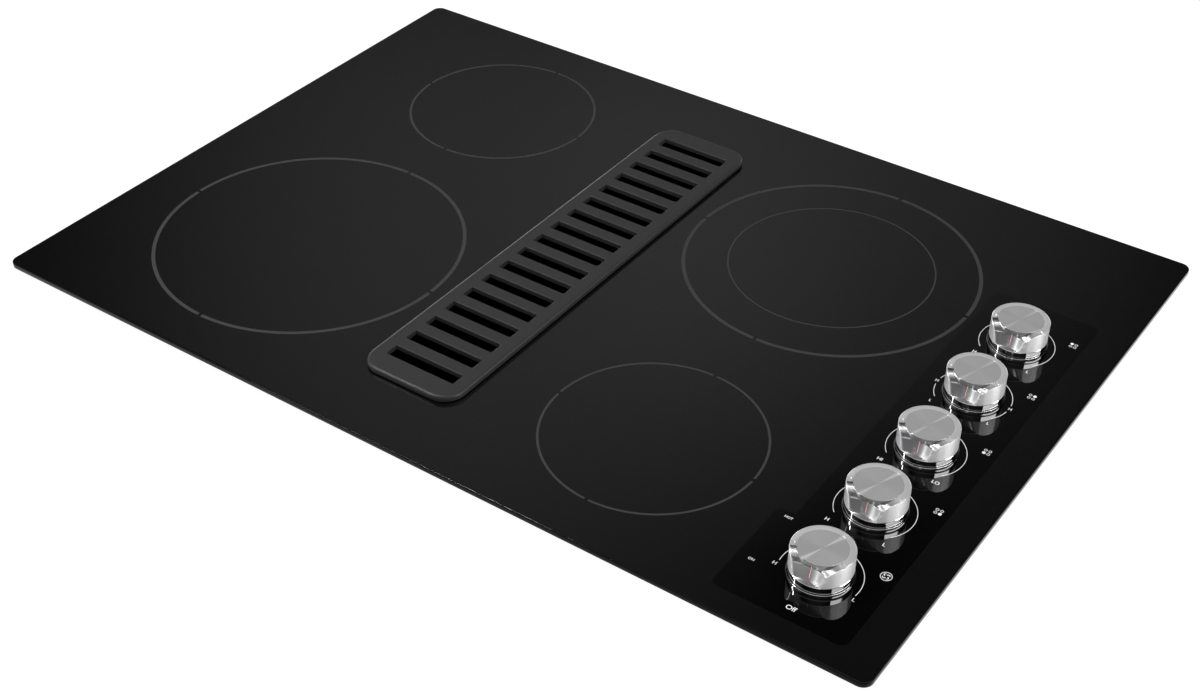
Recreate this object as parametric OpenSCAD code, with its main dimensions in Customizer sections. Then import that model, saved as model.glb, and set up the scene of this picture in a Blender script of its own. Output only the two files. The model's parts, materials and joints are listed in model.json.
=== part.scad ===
// Electric downdraft cooktop: a black glass top with four radiant zones, a vent grille
// down the middle, five push-and-turn knobs, and below it the burner box, the air chamber
// with its grease filter, the blower and the round outlet with its damper.
// Millimetres. The origin is the middle of the worktop cut-out, on the worktop's surface.
// X runs to the right, Y to the back and Z up.

/* [Glass top] */
// Width of the glass
glass_w = 782.6; // [778:0.1:792]
// Depth of the glass, front to back
glass_d = 549.3; // [546:0.1:556]
// Thickness of the glass
glass_t = 4.5; // [4:0.1:5]
// Radius of the glass corners
glass_corner_r = 8; // [6:0.5:10]
// How far the glass overlaps the worktop at each side
overlap_x = 11.1; // [10.9:0.1:12]
// How far the glass overlaps the worktop at the front and back
overlap_y = 10.35; // [10.2:0.05:11]

/* [Rim gasket] */
// Thickness of the foam gasket under the rim
gasket_t = 1.5; // [1:0.1:2.5]
// Width of the gasket band
gasket_w = 7; // [5:0.5:8]
// How far the gasket lies inside the edge of the glass
gasket_inset = 2; // [1:0.5:3]

/* [Vent grille] */
// Middle of the vent, left or right of the middle of the glass
vent_x = -28; // [-29:0.5:-26]
// Middle of the vent, front to back
vent_y = -5; // [-8:0.5:0]
// Width of the grille
grille_w = 88; // [86:0.5:89]
// Length of the grille, front to back
grille_d = 420; // [410:1:430]
// Thickness of the grille's plate
grille_t = 4.5; // [4:0.1:6]
// Radius of the grille's corners
grille_corner_r = 18; // [15:0.5:20]
// Radius of the grille's upper edge
grille_edge_r = 2.5; // [1.5:0.25:3]
// Width of the rim that lies over the glass
grille_lap = 6; // [5:0.25:7]
// Depth of the skirt and the bars below the plate
skirt_h = 11; // [8:0.5:14]
// Wall of the skirt
skirt_wall = 2.5; // [2:0.25:4]
// Gap between the skirt and the opening in the glass
skirt_gap = 1; // [0.6:0.1:1.4]
// Number of slots
slot_count = 17; // [13:1:17]
// Distance from slot to slot
slot_pitch = 23.06; // [21:0.02:23.5]
// Width of a slot, front to back
slot_y = 12; // [10:0.5:14]
// Length of a slot, left to right
slot_x = 64; // [60:0.5:66]
// Thickness of the stiffening blade under each bar
blade_t = 3; // [2:0.25:4]
// Thickness of the soft pads under the rim
pad_t = 0.8; // [0.6:0.1:1.2]
// Length of a pad
pad_l = 16; // [10:1:24]
// Width of a pad
pad_w = 3.5; // [3:0.25:4]
// Number of pads on each side
pad_count = 4; // [3:1:5]
// Distance from pad to pad
pad_pitch = 100; // [80:5:100]
// Resting gap under a loose piece
seat_gap = 0.2; // [0.1:0.05:0.3]

/* [Heating zones] */
// Room beside the left front pan, at the side wall of the burner box
left_side_room = 23.5; // [20:0.5:32]
// Gap between the left front pan and the vent's flange
left_vent_gap = 3.5; // [3:0.5:8]
// Room in front of the left front pan
left_front_room = 11.1; // [8:0.1:20]
// Room between the two left pans
left_middle_room = 31; // [24:0.5:50]
// Room behind the left rear pan
left_rear_room = 15.1; // [8:0.1:30]
// Gap between the right rear pan and the vent's flange
right_vent_gap = 5.2; // [3:0.1:10]
// Gap between the right rear pan and the switch carrier
carrier_gap = 7.8; // [5:0.1:14]
// Room in front of the right front pan
right_front_room = 12.1; // [8:0.1:20]
// Distance of the right front pan's back edge in front of the middle
right_split = 61; // [50:0.5:80]
// Distance of the right rear zone's middle from the back wall of the burner box
right_rear_in = 151.1; // [140:0.1:160]
// Distance from the right rear zone's edge in to its inner part
inner_zone_in = 36; // [30:0.5:42]
// How far a pan reaches past its zone
pan_margin = 9; // [8:0.25:9.5]
// Depth of a pan
pan_h = 28; // [24:1:34]
// Sheet thickness of a pan
pan_wall = 0.8; // [0.6:0.1:1.2]
// Thickness of the insulation under the ribbon
insulation_t = 10; // [8:0.5:14]
// Width of the insulation wall round a zone
insulation_wall = 7; // [5:0.5:8]
// Height of the heating ribbon
ribbon_h = 6; // [4:0.5:8]
// Thickness of the heating ribbon
ribbon_t = 1.2; // [0.8:0.1:2]
// Radius of the ribbon's innermost turn, at the least
ribbon_start = 20; // [18:1:26]
// Reach of the inner zone's insulation wall past that zone's edge
inner_wall_out = 3; // [2:0.25:4]
// Reach of the inner zone's insulation wall inside that zone's edge
inner_wall_in = 2; // [1:0.25:3]
// Gap between the ribbon and the insulation wall
ribbon_clear = 5; // [3:0.5:8]
// Distance between turns of the ribbon
ribbon_pitch = 14; // [12:0.5:18]
// Radius of the temperature limiter's rod
limiter_r = 2.5; // [2:0.1:3]
// Depth of the rod's middle below the glass
limiter_drop = 5.5; // [5:0.5:7]
// Length of the limiter's head outside the pan
limiter_head = 18; // [14:0.5:19]
// Width of the limiter's head
limiter_head_w = 16; // [12:0.5:20]
// Height of the limiter's head
limiter_head_h = 9; // [6:0.5:10]
// Distance of the limiter's inner end from the zone's middle
limiter_start = 12; // [8:1:18]
// Gap between a limiter's rod and the hole that it goes through
rod_gap = 0.3; // [0.2:0.05:0.5]

/* [Knobs] */
// Number of knobs
knob_count = 5; // [5:1:5]
// Middle of the knob row, in from the right edge of the glass
knob_in = 72.3; // [70:0.1:73]
// Middle of the front knob, in from the front edge of the glass
knob_front_in = 68.65; // [65:0.05:74]
// Distance from knob to knob
knob_pitch = 75.75; // [72:0.25:77]
// Radius of a knob
knob_r = 22; // [20:0.1:23]
// Height of a knob's top over the glass
knob_h = 23.4; // [21:0.1:26]
// Radius of the flat top
knob_top_r = 17.5; // [15:0.1:18.5]
// Drop of the rounded shoulder
knob_shoulder = 0.9; // [0.5:0.1:3]
// Thickness of the disc on top
disc_t = 0.8; // [0.5:0.1:1.5]
// Radius of the seat that the disc keeps over the scoop
disc_seat_r = 15.5; // [14:0.25:17]
// Wall of the knob's shell
knob_wall = 2.2; // [1.8:0.1:2.6]
// Distance the knob is pushed in before it turns
push_travel = 2.2; // [1.5:0.1:2.8]
// Gap left under a pushed knob
push_gap = 0.4; // [0.3:0.05:0.6]
// Distance of the scoop's own axis in front of the knob's
scoop_axis = 42; // [38:0.5:50]
// Distance from the knob's middle to the scoop's face, at its foot
scoop_low_y = 17.7; // [16:0.1:19]
// Distance from the knob's middle to the scoop's face, under the disc
scoop_high_y = 13.6; // [12:0.1:15]
// Width of the flare at the top of the scoop
flare_w = 12.5; // [8:0.5:15]
// Height of the flare
flare_h = 5; // [3:0.25:7]
// Height of the scoop's foot over the knob's lower edge
scoop_foot = 5; // [4:0.5:8]
// Height of the thin ring round the knob
ring_h = 2.5; // [1.5:0.1:3.5]
// Width of the thin ring
ring_w = 0.8; // [0.6:0.1:1.5]
// Gap between knob and ring
ring_gap = 0.35; // [0.3:0.05:0.8]

/* [Switches] */
// Radius of the shaft
shaft_r = 3; // [2.5:0.1:3.5]
// Distance from the shaft's middle to its flat
shaft_flat = 1.6; // [1:0.1:2]
// Running clearance of shafts and pins, on the radius
fit_gap = 0.06; // [0.03:0.01:0.09]
// Radius of the shaft holes in the glass
shaft_hole_r = 6.5; // [5:0.25:8]
// Length of the shaft's lower end inside the drum
shaft_drop = 32; // [28:0.5:34]
// Radius of the switch's drum
drum_r = 11; // [9:0.25:13]
// Radius of the drum's neck
neck_r = 6; // [5:0.25:7]
// Gap round the drum inside the switch
drum_gap = 0.4; // [0.3:0.05:0.6]
// Width of a switch body
switch_w = 38; // [34:0.5:42]
// Length of a switch body, front to back
switch_d = 42; // [38:0.5:50]
// Height of a switch body
switch_h = 36; // [34:0.5:44]
// Thickness of the switch body's walls at top and bottom
switch_wall = 3.5; // [3:0.25:4.5]
// Depth of the switch row's carrier below the glass
carrier_drop = 10; // [9:0.5:14]
// Sheet thickness of the carrier
carrier_t = 1.5; // [1:0.1:2]
// Width of the carrier
carrier_w = 60; // [54:0.5:61]
// How far the carrier runs past the end knobs
carrier_end = 38; // [34:0.5:40]

/* [Burner box] */
// Depth of the burner box below the worktop's surface
box_h = 90; // [80:1:110]
// Sheet thickness of the burner box
box_wall = 1; // [0.8:0.1:1.5]
// Width of the rim flange round the box
box_flange = 4; // [3:0.25:5]
// Gap between the rim flange and the worktop cut-out
cutout_gap = 2.2; // [1.9:0.05:3]
// Length of a cooling slot in the box floor
louvre_l = 40; // [30:1:60]
// Width of a cooling slot
louvre_w = 5; // [4:0.5:8]
// Number of cooling slots in a row
louvre_count = 6; // [4:1:8]

/* [Air chamber] */
// Depth of the chamber's floor below the worktop's surface
chamber_h = 372; // [366:1:384]
// Sheet thickness of the chamber
chamber_wall = 1; // [0.8:0.1:1.2]
// Gap between the opening's edge and the chamber's inner face
chamber_step = 2; // [1:0.25:3]
// Width of the chamber's top flange
chamber_flange = 7; // [5:0.5:7.5]
// Width of the angle strips that hold the chamber to the box floor
strip_w = 15; // [12:0.5:17]
// Length of the angle strips
strip_l = 300; // [240:5:380]
// Distance of an end screw from the end of its angle strip
strip_screw_in = 20; // [10:1:30]
// Distance of the screws from the chamber's wall
strip_screw_out = 8; // [6:0.5:10]
// Gap between the chamber and the hole in the box floor
floor_gap = 0.5; // [0.3:0.1:1]
// Thickness of the seal between glass and chamber
vent_seal_t = 1; // [0.8:0.1:1.2]

/* [Grease filter] */
// Width of the filter across its slope
filter_w = 84; // [80:0.5:86]
// Thickness of the filter
filter_t = 8; // [6:0.5:9]
// Length of the filter, front to back
filter_d = 396; // [388:1:400]
// Slope of the filter
filter_angle = 50; // [48:0.5:54]
// Depth of the filter's middle below the worktop's surface
filter_drop = 75; // [70:1:90]
// Width of the filter's frame
filter_border = 8; // [6:0.5:12]
// Thickness of the wire mesh pack
mesh_t = 4; // [3:0.5:5]
// Thickness of the ledges
ledge_t = 1.5; // [1:0.1:2]
// Height of the part of a ledge that is fixed to its wall
ledge_lip = 12; // [8:0.5:16]
// Reach of the lower ledge from its wall
low_ledge = 26; // [22:0.5:28]
// Reach of the upper ledge from its wall
high_ledge = 18; // [15:0.5:20]

/* [Blower] */
// Depth of the blower's axis below the worktop's surface
blower_drop = 290; // [286:1:292]
// Radius of the wheel
wheel_r = 74; // [70:0.5:76]
// Width of the wheel
wheel_w = 90; // [80:1:94]
// Depth of the wheel's blades
blade_depth = 14; // [10:0.5:16]
// Number of blades
blade_count = 36; // [30:1:42]
// Thickness of a blade
blade_sheet = 0.8; // [0.6:0.1:1]
// Thickness of the wheel's back plate
wheel_plate = 2; // [1.5:0.25:3]
// Thickness of the wheel's front ring
wheel_ring = 3; // [2:0.25:4]
// Gap at the joints of pieces of sheet that are folded together
fold_gap = 0.05; // [0.03:0.01:0.1]
// Slant of a blade from the radius
blade_slant = 30; // [20:1:40]
// Gap between the chamber side of the housing and the wheel
wheel_gap = 12; // [10:0.5:14]
// Width of the housing
housing_w = 120; // [116:1:128]
// Sheet thickness of the housing
housing_wall = 1; // [0.8:0.1:1.4]
// Smallest radius of the scroll
scroll_r = 84; // [82:0.5:86]
// Growth of the scroll's radius per quarter turn
scroll_step = 8; // [6:0.5:10]
// How far the outlet reaches past the axis on its inner side
tongue_y = 22; // [18:0.5:26]
// Radius of the inlet ring
inlet_r = 58; // [54:0.5:58.5]
// Wall of the inlet ring
inlet_wall = 1.2; // [0.8:0.1:2]
// Gap between the inlet ring and the holes that it goes through
inlet_hole_gap = 0.3; // [0.2:0.05:0.6]
// Width of the inlet ring's flange
inlet_flange = 12; // [8:0.5:14]
// Radius of the motor shaft
motor_shaft_r = 4; // [3:0.25:5]
// Radius of the wheel's hub
hub_r = 12; // [9:0.5:14]
// Length of the wheel's hub
hub_l = 20; // [14:1:24]
// Radius of the motor
motor_r = 45; // [40:0.5:48]
// Length of the motor
motor_l = 70; // [64:1:80]
// Thickness of the motor's end walls
motor_end = 4; // [3:0.25:6]
// Radius of the rotor
rotor_r = 22; // [18:0.5:26]
// Gap between rotor and stator
rotor_gap = 0.5; // [0.4:0.05:0.8]
// Radius of the motor bracket
bracket_r = 60; // [54:0.5:64]
// Thickness of the motor bracket
bracket_t = 2; // [1.5:0.1:3]

/* [Outlet] */
// Depth of the outlet flange below the worktop's surface
outlet_drop = 430; // [426:1:434]
// Side of the square outlet flange
outlet_side = 172; // [166:1:178]
// Sheet thickness of the flanges
flange_t = 1.5; // [1:0.1:2]
// Outer radius of the round collar
collar_r = 75.2; // [74:0.1:76.2]
// Wall of the collar
collar_wall = 1; // [0.8:0.1:1.5]
// Length of the collar below its flange
collar_l = 79.5; // [78:0.5:86]
// Radius of the damper's pin
damper_pin_r = 2; // [1.5:0.1:2.5]
// Depth of the pin below the collar's flange
damper_drop = 4.5; // [4.2:0.1:6]
// Gap round the flaps inside the collar
flap_gap = 1.2; // [1:0.1:3]
// Length of the bosses that hold the pin inside the collar
boss_l = 4; // [3:0.25:6]
// Thickness of a flap
flap_t = 1; // [0.8:0.1:1.2]
// Wall of a flap's knuckles
knuckle_wall = 1.9; // [1.5:0.1:2]
// Length of a knuckle
knuckle_l = 24; // [18:1:30]

/* [Electrics] */
// Width of the junction box
junction_w = 90; // [80:1:100]
// Depth of the junction box, front to back
junction_d = 64; // [56:1:70]
// Height of the junction box
junction_h = 45; // [38:1:55]
// Sheet thickness of the junction box
junction_t = 1.5; // [1:0.1:2]
// Side of the lugs that the cover's screws go into
junction_lug = 10; // [9:0.5:12]
// Middle of the junction box, in from the right wall of the burner box
junction_in_x = 78; // [70:1:90]
// Middle of the junction box, in from the back wall of the burner box
junction_in_y = 62; // [50:1:70]
// Radius of the conduit entry
conduit_r = 11; // [9:0.1:12]
// Length of the conduit entry's collar
conduit_l = 12; // [8:0.5:16]
// Radius of a wire bundle
bundle_r = 3; // [2:0.25:4]
// Radius of the capacitor
capacitor_r = 17; // [14:0.5:20]
// Length of the capacitor
capacitor_l = 60; // [50:1:75]
// Gap between the capacitor and the chamber, filled by its foot
capacitor_foot = 3; // [2:0.25:5]
// Radius of an indicator lamp
lamp_r = 4; // [3:0.25:5]

/* [Fasteners] */
// Radius of the screws
screw_r = 2; // [1.5:0.1:2.2]
// Clearance round a screw
screw_gap = 0.2; // [0.1:0.05:0.3]
// Radius of a screw head
head_r = 4; // [3.5:0.1:4.5]
// Height of a screw head
head_h = 2.4; // [1.8:0.1:3]
// Thickness of the worktop that the clamp screws reach to
worktop_t = 38; // [30:1:42]
// Width of a hold-down bracket
hold_w = 30; // [24:1:40]
// Reach of a hold-down bracket from the box
hold_reach = 36; // [32:1:44]
// Sheet thickness of a hold-down bracket
hold_t = 2; // [1.5:0.1:3]
// Depth of a hold-down bracket's shelf below the worktop's surface
hold_drop = 78; // [70:1:80]
// Height of a hold-down bracket's upright
hold_rise = 36; // [32:1:50]
// Height of the bracket's fixing screw over its shelf
hold_fix = 25; // [20:1:30]
// Distance of the clamp screw from the tip of the shelf
hold_screw_in = 12; // [8:0.5:16]
// Gap between the clamp screw's head and the shelf
hold_screw_gap = 3; // [1:0.5:6]
// Distance of the hold-down brackets from the middle
hold_x = 240; // [200:5:280]

/* [Hidden] */
$fn = 48;
cut = 1;
glass_low = gasket_t;
glass_top_z = gasket_t + glass_t;
cutout_w = glass_w - 2 * overlap_x;
cutout_d = glass_d - 2 * overlap_y;
box_w = cutout_w - 2 * cutout_gap - 2 * box_flange;
box_d = cutout_d - 2 * cutout_gap - 2 * box_flange;
box_floor = -box_h + box_wall;
opening_w = grille_w - 2 * grille_lap;
opening_d = grille_d - 2 * grille_lap;
opening_r = grille_corner_r - grille_lap;
grille_low = glass_top_z + seat_gap + pad_t;
skirt_w = opening_w - 2 * skirt_gap;
skirt_d = opening_d - 2 * skirt_gap;
knob_x = glass_w / 2 - knob_in;
pan_top = glass_low - 0.5;
pan_low = pan_top - pan_h;
insulation_low = pan_low + pan_wall;
ribbon_low = insulation_low + insulation_t;
limiter_z = glass_low - limiter_drop;
carrier_top = glass_low - carrier_drop;
carrier_low = carrier_top - carrier_t;
switch_low = carrier_low - switch_h;
drum_low = switch_low + switch_wall;
drum_top = carrier_low - switch_wall;
knob_front_y = -glass_d / 2 + knob_front_in;
carrier_y0 = knob_front_y - carrier_end;
carrier_y1 = knob_y(knob_count - 1) + carrier_end;
knob_low = glass_top_z + push_gap + push_travel;
knob_top = glass_top_z + knob_h;
wire_x = knob_x + 12;
wire_turn_z = switch_low + 10;
lamp_x = knob_x - 44;
lamp_ys = [knob_y(0) - 15, knob_y(0) + 30];
tab_w = 16;
chamber_w = opening_w + 2 * chamber_step;
chamber_d = opening_d + 2 * chamber_step;
chamber_top = glass_low - vent_seal_t;
chamber_x = vent_x + chamber_w / 2;
chamber_out = chamber_x + chamber_wall;
filter_z = -filter_drop;
filter_low_z = filter_z - filter_w / 2 * sin(filter_angle) - filter_t / 2 * cos(filter_angle);
low_ledge_top = filter_low_z - seat_gap;
high_ledge_dx = chamber_w / 2 - high_ledge;
high_ledge_top = filter_z + high_ledge_dx * tan(filter_angle)
    - filter_t / 2 / cos(filter_angle) - seat_gap;
axis_z = -blower_drop;
wheel_x = chamber_out + housing_wall + wheel_gap;
housing_out = chamber_out + housing_w;
bracket_out = housing_out + bracket_t;
motor_out = bracket_out + motor_l;
inlet_screw_r = inlet_r + inlet_flange / 2;
rotor_x0 = bracket_out + 15;
rotor_x1 = motor_out - 15;
wheel_back = wheel_x + wheel_w;
scroll_top_r = scroll_r + scroll_step;
scroll_far_r = scroll_r + 2 * scroll_step;
mouth_low_y = -tongue_y;
mouth_high_y = scroll_step + scroll_far_r;
outlet_x = chamber_out + housing_w / 2;
outlet_y = vent_y + (mouth_low_y + mouth_high_y) / 2;
outlet_z = -outlet_drop;
collar_top = outlet_z;
collar_low = collar_top - flange_t - collar_l;
damper_z = collar_top - flange_t - damper_drop;
flap_r = collar_r - collar_wall - flap_gap;
knuckle_r = damper_pin_r + fit_gap + knuckle_wall;
junction_x = box_w / 2 - junction_in_x;
junction_y = box_d / 2 - junction_in_y;
junction_screw_dx = junction_w / 2 - junction_t - junction_lug / 2 + 1;
hold_screw_out = hold_reach - hold_screw_in;
switch_screw_y = switch_d / 2 - 6;

// The left front and right rear pans fill the width beside the vent. The left rear pan fills
// the depth that is left, and the right front pan the depth in front of its split line.
inner_d = box_d - 2 * box_wall;
vent_reach = chamber_w / 2 + chamber_flange;
left_room = vent_x - vent_reach + box_w / 2 - box_wall;
right_room = knob_x - carrier_w / 2 - vent_x - vent_reach;
left_front_pan_r = (left_room - left_side_room - left_vent_gap) / 2;
left_rear_pan_r = (inner_d - left_front_room - left_middle_room - left_rear_room) / 2
    - left_front_pan_r;
right_rear_pan_r = (right_room - right_vent_gap - carrier_gap) / 2;
right_front_pan_r = (inner_d / 2 - right_front_room - right_split) / 2;
left_zone_x = vent_x - vent_reach - left_vent_gap - left_front_pan_r;
right_zone_x = vent_x + vent_reach + right_vent_gap + right_rear_pan_r;
inner_zone_r = right_rear_pan_r - pan_margin - inner_zone_in;

// Zones: name order is left rear, left front, right rear, right front.
// Each is x, y, the radius of its pan, and the direction of its limiter in degrees.
zones = [
    [left_zone_x, inner_d / 2 - left_rear_room - left_rear_pan_r, left_rear_pan_r, 180],
    [left_zone_x, -inner_d / 2 + left_front_room + left_front_pan_r, left_front_pan_r, 225],
    [right_zone_x, inner_d / 2 - right_rear_in, right_rear_pan_r, 45],
    [right_zone_x, -inner_d / 2 + right_front_room + right_front_pan_r, right_front_pan_r, 315]
];
LEFT_REAR = 0;
LEFT_FRONT = 1;
RIGHT_REAR = 2;
RIGHT_FRONT = 3;

function knob_y(i) = knob_front_y + i * knob_pitch;
function slot_place(i) = vent_y + (i - (slot_count - 1) / 2) * slot_pitch;
function louvre_place(i) = (i - (louvre_count - 1) / 2) * 3 * louvre_w;

// A rectangle with round corners.
module round_rect(w, d, r) {
    square([w - 2 * r, d], center = true);
    square([w, d - 2 * r], center = true);
    for (sx = [-1, 1], sy = [-1, 1])
        translate([sx * (w / 2 - r), sy * (d / 2 - r)]) circle(r);
}

// A plate with round corners from height low to height low + h.
module plate(w, d, r, low, h) {
    translate([0, 0, low]) linear_extrude(h) round_rect(w, d, r);
}

// A flat frame: a plate with a smaller plate cut out of it.
module frame_plate(w, d, r, band, low, h) {
    difference() {
        plate(w, d, r, low, h);
        plate(w - 2 * band, d - 2 * band, max(r - band, 1), low - cut, h + 2 * cut);
    }
}

// An outline in the Y-Z plane made into a solid from x, l long.
module along_x(x, l) {
    translate([x, 0, 0]) rotate([90, 0, 90]) linear_extrude(l) children();
}

// A round bar along X.
module bar_x(x, y, z, r, l) {
    translate([x, y, z]) rotate([0, 90, 0]) cylinder(r = r, h = l);
}

// A round bar along Y.
module bar_y(x, y, z, r, l) {
    translate([x, y, z]) rotate([-90, 0, 0]) cylinder(r = r, h = l);
}

module glass_top() {
    color("#101012")
    difference() {
        plate(glass_w, glass_d, glass_corner_r, glass_low, glass_t);
        translate([vent_x, vent_y, 0])
            plate(opening_w, opening_d, opening_r, glass_low - cut, glass_t + 2 * cut);
        for (i = [0 : knob_count - 1])
            translate([knob_x, knob_y(i), glass_low - cut])
                cylinder(r = shaft_hole_r, h = glass_t + 2 * cut);
    }
}

module rim_gasket() {
    color("#2b2b2d")
    frame_plate(glass_w - 2 * gasket_inset, glass_d - 2 * gasket_inset,
        glass_corner_r - gasket_inset, gasket_w, 0, gasket_t);
}

// The holes that screws, wires and cooling air pass through in the box floor.
module box_floor_holes() {
    translate([vent_x, vent_y, 0])
        plate(chamber_w + 2 * (chamber_wall + floor_gap),
            chamber_d + 2 * (chamber_wall + floor_gap), 2, -box_h - cut, box_wall + 2 * cut);
    for (side = [-1, 1], i = [0 : louvre_count - 1])
        translate([side * box_w / 3, louvre_place(i) - 5, -box_h - cut])
            linear_extrude(box_wall + 2 * cut) round_rect(louvre_l, louvre_w, louvre_w / 2 - 0.1);
    translate([junction_x, junction_y, -box_h - cut])
        cylinder(r = bundle_r + 5, h = box_wall + 2 * cut);
    for (p = carrier_screws())
        translate([p[0], p[1], -box_h - cut])
            cylinder(r = screw_r + screw_gap, h = box_wall + 2 * cut);
    for (p = collar_screws())
        translate([p[0], p[1], -box_h - cut])
            cylinder(r = screw_r + screw_gap, h = box_wall + 2 * cut);
}

// Screws through the carrier's feet into the box floor.
function carrier_screws() = [
    for (sx = [-1, 1], y = [carrier_y0 - 6, carrier_y1 + 6]) [knob_x + sx * 24, y]
];

// Screws through the chamber's angle strip into the box floor.
function collar_screws() = [
    for (sx = [-1, 1], k = [-1, 0, 1])
        [vent_x + sx * (chamber_w / 2 + chamber_wall + strip_screw_out),
            vent_y + k * (strip_l / 2 - strip_screw_in)]
];

module burner_box() {
    color("#8f9398")
    difference() {
        union() {
            plate(box_w, box_d, 10, -box_h, box_h + glass_low);
            plate(box_w + 2 * box_flange, box_d + 2 * box_flange, 8,
                glass_low - box_wall, box_wall);
        }
        plate(box_w - 2 * box_wall, box_d - 2 * box_wall, 10 - box_wall, box_floor,
            box_h + glass_low);
        box_floor_holes();
        for (sx = [-1, 1], sy = [-1, 1])
            bar_y(sx * hold_x, sy * box_d / 2 - 4, hold_fix - hold_drop, screw_r + screw_gap, 8);
    }
}

module vent_seal() {
    color("#303032")
    translate([vent_x, vent_y, 0])
        frame_plate(chamber_w + 2 * chamber_flange, chamber_d + 2 * chamber_flange, 8,
            chamber_flange, chamber_top, vent_seal_t);
}

// The sheet-metal air chamber: a tall open-topped box with the blower's inlet in its side.
module air_chamber() {
    outer_w = chamber_w + 2 * chamber_wall;
    outer_d = chamber_d + 2 * chamber_wall;
    color("#9a9ea3")
    translate([vent_x, vent_y, 0])
    difference() {
        union() {
            plate(outer_w, outer_d, 3, -chamber_h, chamber_h + chamber_top);
            plate(chamber_w + 2 * chamber_flange, chamber_d + 2 * chamber_flange, 8,
                chamber_top - chamber_wall, chamber_wall);
            for (sx = [-1, 1])
                translate([(sx * (outer_w + strip_w) - strip_w) / 2, -strip_l / 2, box_floor])
                    cube([strip_w, strip_l, chamber_wall]);
        }
        plate(chamber_w, chamber_d, 2, -chamber_h + chamber_wall, chamber_h + chamber_top);
        bar_x(chamber_w / 2 - 2, 0, axis_z, inlet_r + inlet_hole_gap, 6);
        for (a = [45 : 90 : 315])
            bar_x(chamber_w / 2 - 2, inlet_screw_r * cos(a), axis_z + inlet_screw_r * sin(a),
                screw_r + screw_gap, 6);
        for (p = collar_screws())
            translate([p[0] - vent_x, p[1] - vent_y, box_floor - cut])
                cylinder(r = screw_r + screw_gap, h = chamber_wall + 2 * cut);
    }
}

module filter_ledges() {
    color("#85898e")
    translate([vent_x, vent_y - filter_d / 2, 0]) {
        translate([-chamber_w / 2, 0, low_ledge_top - ledge_t])
            cube([low_ledge, filter_d, ledge_t]);
        translate([-chamber_w / 2, 0, low_ledge_top - ledge_lip])
            cube([ledge_t, filter_d, ledge_lip]);
        translate([chamber_w / 2 - high_ledge, 0, high_ledge_top - ledge_t])
            cube([high_ledge, filter_d, ledge_t]);
        translate([chamber_w / 2 - ledge_t, 0, high_ledge_top - ledge_lip])
            cube([ledge_t, filter_d, ledge_lip]);
    }
}

// Moves a zone's pieces to the zone, turned so that +X points along the limiter.
module at_zone(i) {
    translate([zones[i][0], zones[i][1], 0]) rotate([0, 0, zones[i][3]]) children();
}

// The steel dish that holds a zone's insulation.
module pan(i) {
    r = zones[i][2];
    color("#a3a7ab")
    at_zone(i)
    difference() {
        rotate_extrude() polygon([
            [0, pan_low], [r, pan_low], [r, pan_top], [r - pan_wall, pan_top],
            [r - pan_wall, insulation_low], [0, insulation_low]
        ]);
        bar_x(r - 6, 0, limiter_z, limiter_r + rod_gap, 12);
    }
}

// The insulation of all four zones, each a base with a raised wall, with a
// second wall round the inner part of the right rear zone.
module insulation() {
    color("#e6e2d8")
    for (i = [0 : 3]) {
        r = zones[i][2] - pan_wall;
        at_zone(i)
        difference() {
            union() {
                translate([0, 0, insulation_low]) cylinder(r = r, h = insulation_t);
                difference() {
                    translate([0, 0, insulation_low]) cylinder(r = r, h = glass_low - insulation_low);
                    translate([0, 0, insulation_low])
                        cylinder(r = r - insulation_wall, h = glass_low - insulation_low + cut);
                }
                if (i == RIGHT_REAR)
                    difference() {
                        translate([0, 0, insulation_low])
                            cylinder(r = inner_zone_r + inner_wall_out,
                                h = glass_low - insulation_low - 0.5);
                        translate([0, 0, insulation_low])
                            cylinder(r = inner_zone_r - inner_wall_in, h = glass_low - insulation_low + cut);
                    }
            }
            bar_x(0, 0, limiter_z, limiter_r + rod_gap, r + cut);
        }
    }
}

// One turn of ribbon, open by a few degrees so that the turns can be linked.
module ribbon_turn(r) {
    rotate([0, 0, 8])
        rotate_extrude(angle = 344) translate([r - ribbon_t / 2, ribbon_low])
            square([ribbon_t, ribbon_h]);
}

// The ribbon between two radii, as a string of turns with a link from each to the next.
module ribbon_field(r0, r1) {
    turns = floor((r1 - r0) / ribbon_pitch);
    for (k = [0 : turns]) {
        r = r1 - k * ribbon_pitch;
        ribbon_turn(r);
        if (k < turns)
            rotate([0, 0, k % 2 == 0 ? 8 : -8])
                translate([r - ribbon_pitch - ribbon_t / 2, -ribbon_t / 2, ribbon_low])
                    cube([ribbon_pitch + ribbon_t, ribbon_t, ribbon_h]);
    }
}

module ribbon(i) {
    outer = zones[i][2] - pan_wall - insulation_wall - ribbon_clear;
    color("#6b5a50")
    at_zone(i) {
        if (i == RIGHT_REAR) {
            ribbon_field(inner_zone_r + inner_wall_out + ribbon_clear + 1, outer);
            ribbon_field(ribbon_start, inner_zone_r - inner_wall_in - ribbon_clear - 1);
        } else {
            ribbon_field(ribbon_start, outer);
        }
    }
}

// A rod across each zone that switches the ribbon off before the glass gets too hot.
module limiters() {
    color("#d9d4c8")
    for (i = [0 : 3]) {
        r = zones[i][2];
        at_zone(i) {
            bar_x(limiter_start, 0, limiter_z, limiter_r, r - limiter_start);
            translate([r, -limiter_head_w / 2, limiter_z - limiter_head_h * 2 / 3])
                cube([limiter_head, limiter_head_w, limiter_head_h]);
        }
    }
}

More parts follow.
